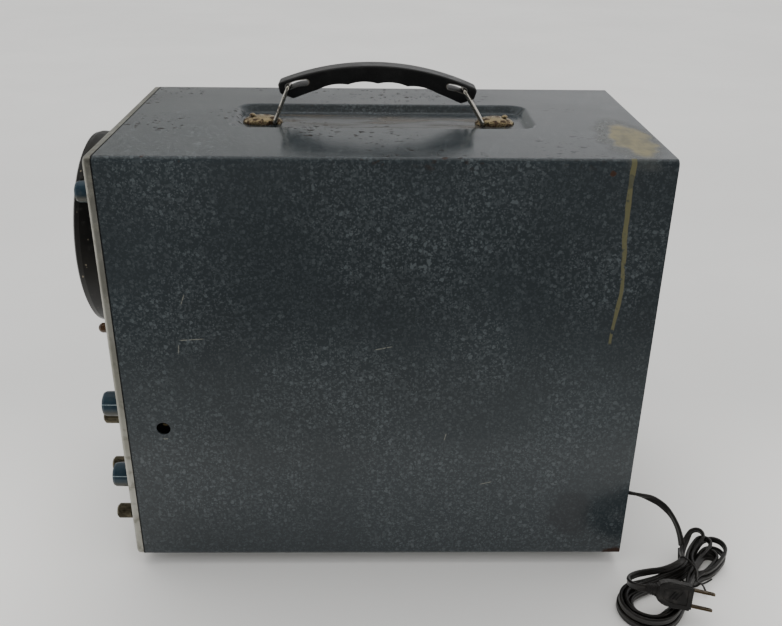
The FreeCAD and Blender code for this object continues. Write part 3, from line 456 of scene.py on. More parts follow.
def plug_shell():
    shape = bmesh.new()
    half = plug_wide / 2
    outline = [
        (-plug_length / 2, -half * 0.62), (-plug_length * 0.30, -half * 0.94),
        (0.0, -half), (plug_length / 2, -half * 0.96), (plug_length / 2, half * 0.96),
        (0.0, half), (-plug_length * 0.30, half * 0.94), (-plug_length / 2, half * 0.62),
    ]
    add_prism(shape, outline, -plug_thick / 2, plug_thick / 2)
    bmesh.ops.bevel(shape, geom=shape.edges[:], offset=0.0013, segments=3, affect="EDGES")
    broad = [face for face in shape.faces if abs(face.normal.y) > 0.99 and face.calc_area() > 1e-4]
    for face in broad:
        outward = face.normal.copy()
        bmesh.ops.inset_individual(shape, faces=[face], thickness=0.0034)
        bmesh.ops.inset_individual(shape, faces=[face], thickness=0.0004)
        bmesh.ops.translate(shape, verts=face.verts, vec=-outward * panel_sunk)
    return shape


def join_in(shape, piece, placed):
    """Put a bmesh in its place and add it to another."""
    bmesh.ops.transform(piece, matrix=placed, verts=piece.verts)
    mesh = bpy.data.meshes.new("joined")
    piece.to_mesh(mesh)
    piece.free()
    shape.from_mesh(mesh)
    bpy.data.meshes.remove(mesh)


def plug_ridges(shape):
    """Three slanting ridges in the sunk panel on each broad face."""
    for face_side in (-1, 1):
        for k in (-1, 0, 1):
            ridge = bmesh.new()
            add_box(ridge, (-0.0005, -0.0007, -0.0042), (0.0005, 0.0007, 0.0042))
            bmesh.ops.bevel(ridge, geom=ridge.edges[:], offset=0.0003, segments=2, affect="EDGES")
            middle = (0.0005 + k * 0.0026, face_side * (plug_thick / 2 - panel_sunk), 0)
            slanting = Matrix.Rotation(math.radians(32), 4, "Y")
            join_in(shape, ridge, Matrix.Translation(middle) @ slanting)


def plug_sleeve(shape):
    """The ribbed sleeve that the cord comes out of, oval like the cord."""
    half_thick, half_wide = 0.0037, 0.0052
    # along the cord, and the share of the full size there
    profile = [(-0.0125, 0.80)]
    for k in range(4):
        x = -0.0135 - 0.0020 * k
        big = 1.0 - 0.07 * k
        profile += [(x, big), (x - 0.0011, big), (x - 0.0012, big - 0.16), (x - 0.0019, big - 0.16)]
    profile.append((profile[-1][0] - 0.0004, 0.60))
    rings = []
    for x, size in profile:
        ring = []
        for a, b in round_outline(1.0, 20):
            ring.append(shape.verts.new((x, b * half_thick * size, a * half_wide * size)))
        rings.append(ring)
    bridge(shape, rings)
    shape.faces.new(rings[0])
    shape.faces.new(rings[-1][::-1])


plug_shape = plug_shell()
plug_ridges(plug_shape)
plug_sleeve(plug_shape)
bmesh.ops.transform(plug_shape, matrix=laid, verts=plug_shape.verts)
mains_plug = finished("mains_plug", plug_shape, smooth=False)


def plug_finish():
    material, place = start_finish("plug_vinyl", Specular_IOR_Level=0.4)
    scuffs = place.noise(220, 5).step(0.45, 0.75)
    return lay_on(
        material,
        Base_Color=scuffs.tint((0.013, 0.012, 0.011, 1), (0.034, 0.031, 0.027, 1)),
        Roughness=0.50 + scuffs * 0.2,
        Normal=place.noise(1500, 2).bump(0.0001, 0.5),
    )


mains_plug.data.materials.append(plug_finish())
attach(mains_plug, "cabinet")
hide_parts("plug_body")


def tarnished(name, clean, dull, blotches, rough, metallic=1.0):
    """Bare metal, dulled in blotches and pitted where it is dullest."""
    material, place = start_finish(name)
    worn = place.noise(blotches, 5).step(0.38, 0.66)
    pits = place.noise(blotches * 9, 2).step(0.56, 0.70) * worn
    return lay_on(
        material,
        Base_Color=worn.tint(clean, dull),
        Roughness=rough + worn * 0.22 + pits * 0.12,
        Metallic=metallic - worn * 0.25 * metallic - pits * 0.2 * metallic,
        Normal=(1 - pits).bump(0.00008, 0.5),
    )


blade_brass = tarnished("blade_brass", (0.16, 0.115, 0.062, 1), (0.050, 0.034, 0.018, 1), 260, 0.36)
dress(blade_brass, "plug_blades")

# ---- cord gland --------------------------------------------------------------------------
# A grey-black rubber gland pushed through the rear panel, tapering along the cord.


def rubber_finish(name, dark, dusty):
    material, place = start_finish(name, Specular_IOR_Level=0.3)
    bloom = place.noise(160, 5).step(0.42, 0.72)
    return lay_on(
        material,
        Base_Color=bloom.tint(dark, dusty),
        Roughness=0.62 + bloom * 0.2,
        Normal=place.noise(900, 3).bump(0.0002, 0.6),
    )


gland_rubber = rubber_finish("gland_rubber", (0.016, 0.016, 0.016, 1), (0.04, 0.038, 0.035, 1))
dress(gland_rubber, "cord_gland")

# ---- cabinet -----------------------------------------------------------------------------
# One sheet of 1.2 mm steel wrapped round the chassis, with a recess pressed in its top for
# the handle.  Sprayed navy-grey enamel, spattered with small pale flecks and baked glossy.


# the bend at the top, the handle's recess, and the dried run down the side
top_bend = 0.0035
recess_half_x, recess_half_y, recess_middle_x, recess_middle_y = 0.110, 0.030, 0.0145, 0.008
run_x, run_top, run_bottom = 0.1885, 0.355, 0.2130


def flecked(place):
    """Navy-grey ground under ragged pale flecks, and where the flecks are."""
    ragged = place.jittered(700, 0.0022).jittered(260, 0.0030)
    fine = ragged.spots(520, 0.50, 0.42)
    broad = ragged.spots(300, 0.42, 0.38)
    lace = place.noise(430, 3).step(0.50, 0.60) * 0.42
    crowding = 0.45 + 0.55 * place.noise(11, 3).step(0.38, 0.62)
    flecks = (fine * 0.75).most(broad).most(lace) * crowding
    cloud = place.noise(5, 3).step(0.3, 0.7)
    ground = cloud.tint((0.0185, 0.0240, 0.0270, 1), (0.0240, 0.0310, 0.0350, 1))
    return (flecks * 0.70).tint(ground, (0.082, 0.096, 0.102, 1)), flecks


def gritty_top(place, colour, top, low):
    """Fine dark chips that run along the top, thickest towards the front."""
    chips = place.stretched(1.0, 1.7, 1.0).jittered(170, 0.010).spots(105, 0.42, 0.27) * top
    spatter = place.stretched(1.0, 1.4, 1.0).jittered(300, 0.005).spots(260, 0.22, 0.36) * top
    wear = place.noise(13, 4).step(0.46, 0.56)
    forward = (place.axis("X") - low.x).step(0.34, 0.20)
    grit = chips.most(spatter * 0.8) * wear * (0.35 + 0.65 * forward)
    return (grit * 0.9).tint(colour, (0.020, 0.014, 0.011, 1)), grit


def silted_recess(place, colour, high):
    """Brown silt on the walls of the handle's recess."""
    x, y, z = (place.axis(letter) for letter in "XYZ")
    basin = z.step(high.z - 0.0030, high.z - 0.0052) * z.step(high.z - 0.0110, high.z - 0.0080)
    basin = basin * (recess_half_y - abs(y - recess_middle_y)).step(0.0, 0.006)
    basin = basin * (recess_half_x - abs(x - recess_middle_x)).step(0.0, 0.02)
    silt = basin * place.stretched(0.5, 2.0, 1.0).noise(40, 5).step(0.42, 0.66)
    return (silt * 0.5).tint(colour, (0.105, 0.082, 0.055, 1)), silt


def dried_spill(place, colour, top, high):
    """A dried spill on the top at the rear, in a paler halo."""
    spill = place.jittered(45, 0.020).patch((0.2100, -0.0520, high.z), (0.0150, 0.0440, 0.04))
    halo = place.jittered(34, 0.024).patch((0.2070, -0.0460, high.z), (0.0230, 0.0600, 0.04))
    tide = spill * top * 0.80
    halo = halo * top
    colour = (halo * 0.30).tint(colour, (0.12, 0.12, 0.105, 1))
    blotch = place.stretched(1.0, 0.6, 1.0).noise(130, 5).step(0.30, 0.66)
    colour = (tide * (0.45 + 0.55 * blotch)).tint(colour, (0.230, 0.200, 0.105, 1))
    return colour, (tide * 0.8).most(halo * 0.35)


def dried_run(place, colour, near_side):
    """The run that the spill left down the side, darker along its edges."""
    x, z = place.axis("X"), place.axis("Z")
    wander = (place.noise(22, 1) - 0.5) * 0.007
    breadth = 0.0023 - (run_top - z) * 0.0050 + (place.noise(60, 2) - 0.5) * 0.0022
    centre_gap = abs(x - run_x - wander)
    broken = place.noise(95, 2).step(0.36, 0.46).most(z.step(0.31, 0.34) * 0.6)
    run = (breadth - centre_gap).step(0.0, 0.0007) * near_side * z.step(run_bottom, run_bottom + 0.003)
    run = run * broken
    edge = (0.0007 - abs(breadth - centre_gap)).step(0.0, 0.0005) * run
    colour = (run * 0.80).tint(colour, (0.115, 0.108, 0.052, 1))
    return (edge * 0.5).tint(colour, (0.05, 0.045, 0.03, 1)), run


def rusted(place, colour, low, high):
    """Rust where the enamel has chipped: here and there, along the rims and at three corners."""
    y, z = place.axis("Y"), place.axis("Z")
    rust = place.jittered(200, 0.005).spots(26, 0.085, 0.050)
    rim = (z - low.z).step(0.0045, 0.0010).most(z.step(high.z - 0.0050, high.z - 0.0030) * 0.7)
    rim_rust = place.jittered(260, 0.004).spots(120, 0.16, 0.20)
    rust = rust.most(rim_rust * rim * y.step(low.y + 0.010, low.y + 0.004))
    for ragged, middle, half in (
        (0.006, (low.x + 0.092, low.y, low.z + 0.0025), (0.006, 0.01, 0.0022)),
        (0.005, (0.1755, low.y, 0.3500), (0.0018, 0.01, 0.0022)),
        (0.006, (high.x, low.y, low.z), (0.014, 0.02, 0.011)),
    ):
        rust = rust.most(place.jittered(150, ragged).patch(middle, half))
    return (rust * 0.8).tint(colour, (0.042, 0.019, 0.010, 1)), rust


def scratched(place, colour, low, near_side):
    """A spot of bare metal under the side hole, painted pale as a glint, and a few pale scratches on the
    side, each with its middle, lean in degrees and length.
    """
    x, z = place.axis("X"), place.axis("Z")
    # painted highlight: a pale spot under the side hole, bare metal at its rim painted as a glint
    scratches_and_glint = place.patch((-0.1570, low.y, 0.1282), (0.0020, 0.01, 0.0007))
    for start_x, start_z, lean, length in (
        (-0.1330, 0.2500, 70, 0.011), (-0.1290, 0.2170, 4, 0.020), (-0.1395, 0.2090, 84, 0.010),
        (0.0150, 0.2100, 12, 0.016), (0.0650, 0.1300, 78, 0.009), (0.1000, 0.0850, 15, 0.012),
    ):
        ahead = (math.cos(math.radians(lean)), math.sin(math.radians(lean)))
        forward = (x - start_x) * ahead[0] + (z - start_z) * ahead[1]
        aside = abs((z - start_z) * ahead[0] - (x - start_x) * ahead[1])
        mark = (0.00055 - aside).step(0.0, 0.0004) * (length / 2 - abs(forward)).step(0.0, 0.003)
        scratches_and_glint = scratches_and_glint.most(mark)
    scratches_and_glint = scratches_and_glint * near_side * place.noise(600, 2).step(0.30, 0.48)
    return (scratches_and_glint * 0.75).tint(colour, (0.20, 0.20, 0.17, 1))


def cabinet_enamel():
    material, place = start_finish("cabinet_enamel", IOR=1.46)
    low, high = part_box("cabinet_shell")
    x, y, z = (place.axis(letter) for letter in "XYZ")
    top = z.step(high.z - 0.0105, high.z - top_bend)
    near_side = y.step(low.y + 0.006, low.y + 0.003)
    colour, flecks = flecked(place)
    colour, grit = gritty_top(place, colour, top, low)
    colour, silt = silted_recess(place, colour, high)
    colour, spill = dried_spill(place, colour, top, high)
    colour, run = dried_run(place, colour, near_side)
    colour, rust = rusted(place, colour, low, high)
    colour = scratched(place, colour, low, near_side)

    # a soft dark patch low at the rear, and a painted shadow line where the sheet goes under the trim
    # a soft darker patch on the near side, low towards the rear
    low_dark_patch = place.jittered(20, 0.03).patch((0.1850, low.y, 0.0700), (0.0240, 0.02, 0.0360))
    colour = (low_dark_patch * 0.55).tint(colour, (0.010, 0.012, 0.015, 1))
    # painted shadow: a thin near-black strip round the sheet's front edge, beside the trim
    painted_gap_shadow = x.step(low.x + 0.0016, low.x + 0.0004)
    colour = painted_gap_shadow.tint(colour, (0.004, 0.004, 0.004, 1))

    # glossy enamel, and matt where something has dried on it or worn it, and along the painted shadow
    # line
    dull = spill.most(run * 0.8).most(rust).most(grit).most(painted_gap_shadow).most(silt * 0.4)
    smears = place.stretched(1.0, 2.0, 1.0).noise(11, 5).step(0.38, 0.70)
    peel = place.noise(260, 2) * 0.6 + flecks * 0.5 + dull * 0.8 + smears * 0.15
    relief = peel.bump(0.00005, 0.45)
    lay_on(material, Base_Color=colour, Roughness=0.155 + smears * 0.07, Normal=relief)
    tree = material.node_tree
    gloss = Flow(tree, tree.nodes["Principled BSDF"].outputs[0])
    matt = place.node("ShaderNodeBsdfPrincipled", {}, {
        "Base Color": colour, "Roughness": 0.75, "Specular IOR Level": 0.12, "Normal": relief,
    })
    mixed = place.node("ShaderNodeMixShader", {}, {0: dull, 1: gloss, 2: matt})
    tree.links.new(mixed.socket, tree.nodes["Material Output"].inputs["Surface"])
    return material


enamel = cabinet_enamel()
dress(enamel, "cabinet_shell")

# ---- feet --------------------------------------------------------------------------------
# Four tapered rubber feet, each held by a cheese-head screw from below.
foot_rubber = rubber_finish("foot_rubber", (0.014, 0.014, 0.013, 1), (0.05, 0.046, 0.04, 1))
dress(foot_rubber, "feet", "crt_cushion")
bright_steel = tarnished("plated_steel", (0.52, 0.51, 0.48, 1), (0.22, 0.19, 0.15, 1), 240, 0.30)
dress(bright_steel, "foot_screws")

# ---- front trim --------------------------------------------------------------------------
# A die-cast aluminium frame, brushed and lacquered, that clamps the front panel to the
# cabinet's flange.  Six countersunk screws hold it.


def trim_metal():
    material, place = start_finish("trim_aluminium")
    brushed = place.stretched(40.0, 6.0, 6.0).noise(60, 4)
    grime = place.noise(120, 5).step(0.52, 0.72)
    nicks = place.jittered(200, 0.004).spots(110, 0.10, 0.16)
    worn = place.noise(22, 3).step(0.40, 0.65)
    colour = worn.tint((0.285, 0.280, 0.245, 1), (0.385, 0.380, 0.340, 1))
    colour = (grime * 0.6).tint(colour, (0.145, 0.138, 0.108, 1))
    return lay_on(
        material,
        Base_Color=(nicks * 0.7).tint(colour, (0.12, 0.11, 0.09, 1)),
        Roughness=0.36 + brushed * 0.14 + grime * 0.2,
        Metallic=0.92 - grime * 0.3,
        Normal=(brushed * 0.3 - nicks).bump(0.00012, 0.6),
    )


dress(trim_metal(), "front_trim")
dress(bright_steel, "trim_screws")

# ---- front panel -------------------------------------------------------------------------
# Steel panel in a satin blue-grey enamel.  Dial scales, switch dots and the earth signs are
# silk-screened on it in off-white ink.
record_joints = frame["record"]["behaviour"]["joints"]
knobs = [j["child"] for j in record_joints if j["name"].endswith("_turn")]
selectors = [j["child"] for j in record_joints if j["name"].endswith("_select")]
panel_low, panel_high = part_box("front_panel")
trim_low, trim_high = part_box("front_trim")
panel_face = panel_low.x
ink = 0.00012


def panel_enamel():
    material, place = start_finish("panel_enamel", Specular_IOR_Level=0.45)
    cloud = place.noise(12, 3).step(0.3, 0.7)
    grime = place.noise(45, 5).step(0.50, 0.70)
    colour = cloud.tint((0.105, 0.128, 0.140, 1), (0.128, 0.152, 0.162, 1))
    return lay_on(
        material,
        Base_Color=(grime * 0.35).tint(colour, (0.06, 0.058, 0.048, 1)),
        Roughness=0.38 + grime * 0.25,
        Normal=place.noise(900, 3).bump(0.00008, 0.6),
    )


dress(panel_enamel(), "front_panel")


def middle_of(node):
    low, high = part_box(node)
    return (low + high) / 2


def node_of(body):
    return frame["record"]["behaviour"]["bodies"][body][0]


def on_panel(y, z, turned=0.0):
    """Local X to the viewer's right, local Y up, local Z out of the panel."""
    facing = Matrix(((0, 0, -1), (-1, 0, 0), (0, 1, 0))).to_4x4()
    return Matrix.Translation((panel_face, y, z)) @ facing @ Matrix.Rotation(turned, 4, "Z")


def add_mark(shape, placed, low, high):
    mark = bmesh.new()
    add_box(mark, (low[0], low[1], -ink), (high[0], high[1], ink))
    join_in(shape, mark, placed)


def add_number(shape, text, size, placed):
    letters = bpy.data.curves.new("number", "FONT")
    letters.body = text
    letters.size = size
    letters.align_x = "CENTER"
    letters.align_y = "CENTER"
    letters.extrude = ink
    holder = bpy.data.objects.new("number", letters)
    bpy.context.scene.collection.objects.link(holder)
    bpy.context.view_layer.update()
    mesh = bpy.data.meshes.new_from_object(holder)
    mesh.transform(placed)
    shape.from_mesh(mesh)
    bpy.data.objects.remove(holder)
    bpy.data.meshes.remove(mesh)


def clear_of_trim(y, z, room):
    bar = 0.011
    inside_y = abs(y) < trim_high.y - bar - room
    return inside_y and trim_low.z + bar + room < z < trim_high.z - bar - room


def clear_of_bezel(y, z):
    bezel_room = 0.0805
    return y * y + (z - middle_of("crt_bezel").z) ** 2 > bezel_room ** 2


def at_turn(place, turn, radius):
    """The Y and Z of a point round a control, clockwise from straight up."""
    return place.y - radius * math.sin(turn), place.z + radius * math.cos(turn)


legend = bmesh.new()
for body in knobs:
    place = middle_of(node_of(body))
    for k in range(11):
        turn = math.radians(-150 + 30 * k)
        y, z = at_turn(place, turn, 0.0150)
        if clear_of_trim(y, z, 0.0003) and clear_of_bezel(y, z):
            add_mark(legend, on_panel(place.y, place.z, -turn), (-0.0002, 0.0115), (0.0002, 0.0130))
            if clear_of_trim(y, z, 0.0018):
                add_number(legend, str(k), 0.0034, on_panel(y, z))
for body in selectors:
    place = middle_of(node_of(body))
    for k in range(5):
        turn = math.radians(-80 + 40 * k)
        y, z = at_turn(place, turn, 0.0215)
        add_mark(legend, on_panel(place.y, place.z, -turn), (-0.00035, 0.0165), (0.00035, 0.0186))
        add_number(legend, str(k + 1), 0.0040, on_panel(y, z))
for node in ("post_cap_vertical_ground", "post_cap_horizontal_ground"):
    place = middle_of(node)
    inward = -1 if place.y > 0 else 1
    for k, half in enumerate((0.0030, 0.0020, 0.0010)):
        placed = on_panel(place.y + inward * 0.0125, place.z + 0.001 - 0.0013 * k)
        add_mark(legend, placed, (-half, -0.0002), (half, 0.0002))
    stem = on_panel(place.y + inward * 0.0125, place.z)
    add_mark(legend, stem, (-0.0002, 0.001), (0.0002, 0.0035))
panel_legend = finished("panel_legend", legend, smooth=False)


def ink_finish():
    material, place = start_finish("panel_ink")
    faded = place.noise(300, 3).step(0.45, 0.70)
    return lay_on(
        material,
        Base_Color=faded.tint((0.62, 0.60, 0.52, 1), (0.40, 0.39, 0.34, 1)),
        Roughness=0.50 + faded * 0.15,
    )


off_white = ink_finish()
panel_legend.data.materials.append(off_white)
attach(panel_legend, "cabinet")

# ---- rear panel --------------------------------------------------------------------------
# A flat steel plate with three banks of cooling slots, in the cabinet's enamel, held by
# six round-headed screws.
dress(enamel, "rear_panel")
dress(bright_steel, "rear_screws")

# ---- bezel -------------------------------------------------------------------------------
# A deep black phenolic ring round the screen.  Its rim is rounded, and dust has settled in
# its scratches.


def phenolic():
    material, place = start_finish("black_phenolic", Specular_IOR_Level=0.3)
    dust = place.jittered(300, 0.002).spots(260, 0.10, 0.20)
    haze = place.noise(26, 5).step(0.42, 0.72)
    rubbed = place.noise(160, 4).step(0.55, 0.75)
    colour = haze.tint((0.0040, 0.0038, 0.0034, 1), (0.0110, 0.0095, 0.0070, 1))
    colour = (rubbed * 0.35).tint(colour, (0.045, 0.042, 0.036, 1))
    return lay_on(
        material,
        Base_Color=(dust * 0.7).tint(colour, (0.20, 0.17, 0.12, 1)),
        Roughness=0.34 + haze * 0.16 + rubbed * 0.12,
        Normal=(place.noise(1200, 2) * 0.4 - dust).bump(0.00006, 0.5),
    )


black_ring = phenolic()
dress(black_ring, "crt_bezel")

# ---- graticule ---------------------------------------------------------------------------
# A disc of green-tinted acrylic in front of the tube, engraved with a ten-millimetre grid
# whose two middle lines are ticked every two millimetres, the cuts filled with black.


def green_acrylic():
    material, place = start_finish("green_acrylic", Transmission_Weight=0.85, IOR=1.49)
    haze = place.noise(60, 4).step(0.45, 0.75)
    return lay_on(
        material,
        Base_Color=haze.tint((0.30, 0.62, 0.42, 1), (0.34, 0.60, 0.42, 1)),
        Roughness=0.03 + haze * 0.10,
    )


dress(green_acrylic(), "graticule")
disc_low, disc_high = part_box("graticule")
disc_middle = (disc_low + disc_high) / 2
disc_radius = (disc_high.y - disc_low.y) / 2 - 0.002
grid_half = 0.050
to_disc = Matrix.Translation((disc_low.x - panel_face, 0, 0))
upright_and_level = [to_disc @ on_panel(0, disc_middle.z, turn) for turn in (0.0, math.pi / 2)]
engraving = bmesh.new()
for k in range(-5, 6):
    offset = 0.010 * k
    reach = min(math.sqrt(disc_radius ** 2 - offset ** 2), grid_half)
    fine = 0.00022 if k == 0 else 0.00014
    for placed in upright_and_level:
        add_mark(engraving, placed, (offset - fine, -reach), (offset + fine, reach))
for k in range(-25, 26):
    tick = 0.002 * k
    for placed in upright_and_level:
        add_mark(engraving, placed, (tick - 0.0001, -0.001), (tick + 0.0001, 0.001))
graticule_lines = finished("graticule_lines", engraving, smooth=False)
graticule_lines.data.materials.append(black_ring)
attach(graticule_lines, "cabinet")

# ---- picture tube ------------------------------------------------------------------------
# A five-inch tube: a glass funnel, dark with graphite behind its pale phosphor face, in a
# rubber cushion and a steel shield, with a brown moulded base and socket on its neck.


def tube_glass():
    material, place = start_finish("tube_glass", IOR=1.5, Coat_Weight=0.4, Coat_Roughness=0.03)
    face_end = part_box("crt_tube")[0].x + 0.012
    behind = place.axis("X").step(face_end, face_end + 0.006)
    grain = place.noise(900, 2)
    phosphor = grain.tint((0.33, 0.40, 0.33, 1), (0.38, 0.45, 0.37, 1))
    return lay_on(
        material,
        Base_Color=behind.tint(phosphor, (0.012, 0.012, 0.014, 1)),
        Roughness=0.12 + behind * 0.30,
    )


dress(tube_glass(), "crt_tube")


def brown_moulding(name, dark, light):
    material, place = start_finish(name)
    swirl = place.jittered(60, 0.01).noise(110, 5).step(0.35, 0.68)
    return lay_on(
        material,
        Base_Color=swirl.tint(dark, light),
        Roughness=0.34 + swirl * 0.16,
        Normal=place.noise(700, 2).bump(0.00006, 0.5),
    )


bakelite = brown_moulding("brown_bakelite", (0.022, 0.010, 0.006, 1), (0.055, 0.024, 0.012, 1))
dress(bakelite, "crt_base", "crt_socket", "valve_sockets", "rotary_switches", "toggle_body")
shield_steel = tarnished("shield_steel", (0.34, 0.34, 0.33, 1), (0.19, 0.18, 0.165, 1), 60, 0.34)
dress(shield_steel, "crt_shield", "crt_clamp")

# ---- chassis -----------------------------------------------------------------------------
# A cadmium-plated steel tray with the supply's transformer, its capacitors and twelve
# valves on top, tied to the front panel by two gussets.
chassis_plate = tarnished("chassis_steel", (0.44, 0.43, 0.36, 1), (0.25, 0.23, 0.17, 1), 45, 0.32)
dress(chassis_plate, "chassis", "chassis_brackets")


def stamped_stack():
    material, place = start_finish("laminations", Metallic=0.7)
    leaves = place.stretched(1.0, 0.02, 0.02).noise(1800, 1).step(0.42, 0.58)
    return lay_on(
        material,
        Base_Color=leaves.tint((0.06, 0.055, 0.05, 1), (0.14, 0.13, 0.12, 1)),
        Roughness=0.45 + leaves * 0.15,
        Normal=leaves.bump(0.0002, 0.8),
    )


dress(stamped_stack(), "transformer_core")
bell_black = rubber_finish("transformer_black", (0.012, 0.012, 0.012, 1), (0.03, 0.03, 0.028, 1))
dress(bell_black, "transformer_bells")
can_metal = tarnished("can_aluminium", (0.58, 0.58, 0.57, 1), (0.40, 0.39, 0.37, 1), 90, 0.26)
dress(can_metal, "filter_cans", "potentiometers")


def valve_glass():
    material, place = start_finish("valve_glass", Transmission_Weight=0.75, IOR=1.5)
    low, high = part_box("valves")
    height = place.axis("Z")
    getter = height.step(high.z - 0.016, high.z - 0.008)
    base = height.step(low.z + 0.018, low.z + 0.014)
    colour = getter.tint((0.72, 0.76, 0.76, 1), (0.10, 0.10, 0.11, 1))
    return lay_on(
        material,
        Base_Color=base.tint(colour, (0.05, 0.05, 0.05, 1)),
        Roughness=0.05 + base * 0.3 + getter * 0.1,
    )


dress(valve_glass(), "valves")

# ---- preset control ----------------------------------------------------------------------
# A small preset behind the hole in the cabinet's side, with a slotted brass spindle.
old_brass = tarnished("old_brass", (0.36, 0.28, 0.15, 1), (0.12, 0.085, 0.045, 1), 210, 0.34)
dress(old_brass, "side_trimmer")

# ---- knobs -------------------------------------------------------------------------------
# Blue moulded knobs on steel shafts, each with one filled white line from the middle of its
# face over the rim and down its side.  Their undersides carry painted shade, a darker olive.
dress(bright_steel, "control_nuts")


def knob_moulding():
    material, place = start_finish("blue_moulding", Specular_IOR_Level=0.4)
    tree = material.node_tree
    where = tree.nodes.new("ShaderNodeTexCoord")
    facing = Flow(tree, where.outputs["Normal"])
    swirl = place.noise(120, 4).step(0.35, 0.70)
    # painted shade and reflection: faces that point down turn dark olive
    painted_underside_shade = facing.axis("Z").step(0.10, -0.45)
    worn = place.noise(420, 4).step(0.50, 0.68)
    colour = swirl.tint((0.009, 0.027, 0.042, 1), (0.014, 0.038, 0.056, 1))
    colour = (painted_underside_shade * 0.85).tint(colour, (0.030, 0.027, 0.014, 1))
    return lay_on(
        material,
        Base_Color=(worn * 0.25).tint(colour, (0.06, 0.07, 0.065, 1)),
        Roughness=0.28 + swirl * 0.14 + worn * 0.1,
        Normal=place.noise(900, 2).bump(0.00005, 0.5),
    )


knob_blue = knob_moulding()


def worn_ink():
    material, place = start_finish("knob_ink")
    faded = place.noise(700, 3).step(0.40, 0.65)
    return lay_on(
        material,
        Base_Color=faded.tint((0.26, 0.31, 0.33, 1), (0.13, 0.18, 0.20, 1)),
        Roughness=0.45 + faded * 0.2,
    )


line_ink = worn_ink()


def white_line(name, outline, middle, turned, half_width, body):
    """A thin inlay that follows a knob's outline of (x, radius) at one angle round its axis."""
    outward = Vector((0, -math.sin(turned), math.cos(turned)))
    aside = Vector((0, math.cos(turned), math.sin(turned)))
    points = [Vector((x, middle.y, middle.z)) + outward * radius for x, radius in outline]
    inside = Vector((middle.x + 0.01, middle.y, middle.z))
    sunk, proud_by = -0.0004, 0.0001
    shape = bmesh.new()
    rings = []
    for k, point in enumerate(points):
        before = points[max(k - 1, 0)]
        after = points[min(k + 1, len(points) - 1)]
        ahead = (after - before).normalized()
        proud = aside.cross(ahead)
        if proud.dot(point - inside) < 0:
            proud = -proud
        ring = []
        for across, rise in ((-1, sunk), (1, sunk), (1, proud_by), (-1, proud_by)):
            ring.append(shape.verts.new(point + aside * across * half_width + proud * rise))
        rings.append(ring)
    bridge(shape, rings)
    shape.faces.new(rings[0])
    shape.faces.new(rings[-1][::-1])
    line = finished(name, shape, smooth=False)
    line.data.materials.append(line_ink)
    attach(line, body)


# how far each knob is turned from straight up, clockwise as its user sees it
settings = {
    "intensity": 150, "focus": -20, "vertical_position": 12, "horizontal_position": 66,
    "vertical_gain": -48, "horizontal_gain": 66, "sweep_vernier": 30, "sync_level": -75,
}
for body in knobs:
    node = node_of(body)
    low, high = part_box(node)
    front, back = low.x, panel_face - 0.0042
    rim = (high.y - low.y) / 2
    outline = [
        (front, 0.0012), (front, rim - 0.0033), (front + 0.0007, rim - 0.0013),
        (front + 0.0024, rim - 0.0005), ((front + back) / 2, rim - 0.0003), (back, rim - 0.0001),
    ]
    control = body.replace("_knob", "")
    turned = math.radians(settings[control])
    white_line(control + "_line", outline, middle_of(node), turned, 0.00035, body)
    dress(knob_blue, node)

# ---- switch knobs ------------------------------------------------------------------------
# Pointer knobs of the same moulding on the rotary switches: a raised bar across a round
# skirt, with a white line along the half that points.
for body in selectors:
    node = node_of(body)
    low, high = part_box(node)
    outline = [(low.x, 0.0030), (low.x, 0.0118), (low.x + 0.0006, 0.0134), (low.x + 0.0090, 0.0148)]
    white_line(body + "_line", outline, middle_of(node), 0.0, 0.0005, body)
    dress(knob_blue, node)

# ---- power switch ------------------------------------------------------------------------
# A toggle switch with a plated lever, below the middle of the panel.
dress(bright_steel, "toggle_lever")

# ---- pilot lamp --------------------------------------------------------------------------
# An amber plastic jewel over a small lamp, in a tarnished brass holder.


def amber_plastic():
    material, place = start_finish("amber_jewel", Transmission_Weight=0.35, IOR=1.5)
    grime = place.noise(500, 3).step(0.45, 0.72)
    return lay_on(
        material,
        Base_Color=grime.tint((0.085, 0.040, 0.014, 1), (0.035, 0.020, 0.010, 1)),
        Roughness=0.18 + grime * 0.25,
    )


dress(amber_plastic(), "pilot_jewel")
dress(old_brass, "pilot_holder")

# ---- binding posts -----------------------------------------------------------------------
# Six screw-down posts: black insulating washers on the panel, fluted thumb nuts of nickelled
# brass that has gone olive.
post_black = brown_moulding("post_black", (0.010, 0.010, 0.010, 1), (0.022, 0.021, 0.019, 1))
dress(post_black, "post_bases")
post_nickel = tarnished("tarnished_nickel", (0.150, 0.132, 0.088, 1), (0.052, 0.044, 0.026, 1), 230, 0.40)
dress(post_nickel, *[name for name in frame["nodes"] if name.startswith("post_cap_")])

# ---- handle links and plates -------------------------------------------------------------
# Two loops of nickelled wire, hinged under domed oval plates that are riveted in the
# recess.  The plates have rusted through their brass plating.


def rusted_plate(name, clean, share):
    material, place = start_finish(name)
    rust = place.jittered(260, 0.003).noise(230, 5).step(share, share + 0.16)
    deep = place.noise(800, 3).step(0.52, 0.64) * rust
    colour = rust.tint(clean, (0.075, 0.042, 0.020, 1))
    return lay_on(
        material,
        Base_Color=deep.tint(colour, (0.030, 0.014, 0.008, 1)),
        Roughness=0.24 + rust * 0.34,
        Metallic=1.0 - rust * 0.55,
        Normal=(rust * 0.5 + deep).bump(0.00025, 0.8),
    )


rusty_brass = rusted_plate("rusty_plate", (0.36, 0.29, 0.17, 1), 0.44)
dress(rusty_brass, "handle_plates", "plate_rivets")
link_nickel = rusted_plate("link_nickel", (0.62, 0.59, 0.52, 1), 0.56)
dress(link_nickel, "handle_link_left", "handle_link_right")

# ---- carrying grip -----------------------------------------------------------------------
# An arched grip moulded in black vinyl with a leather grain, four finger hollows below, and
# a slot near each end lined with a plated eyelet, in which its link slides.


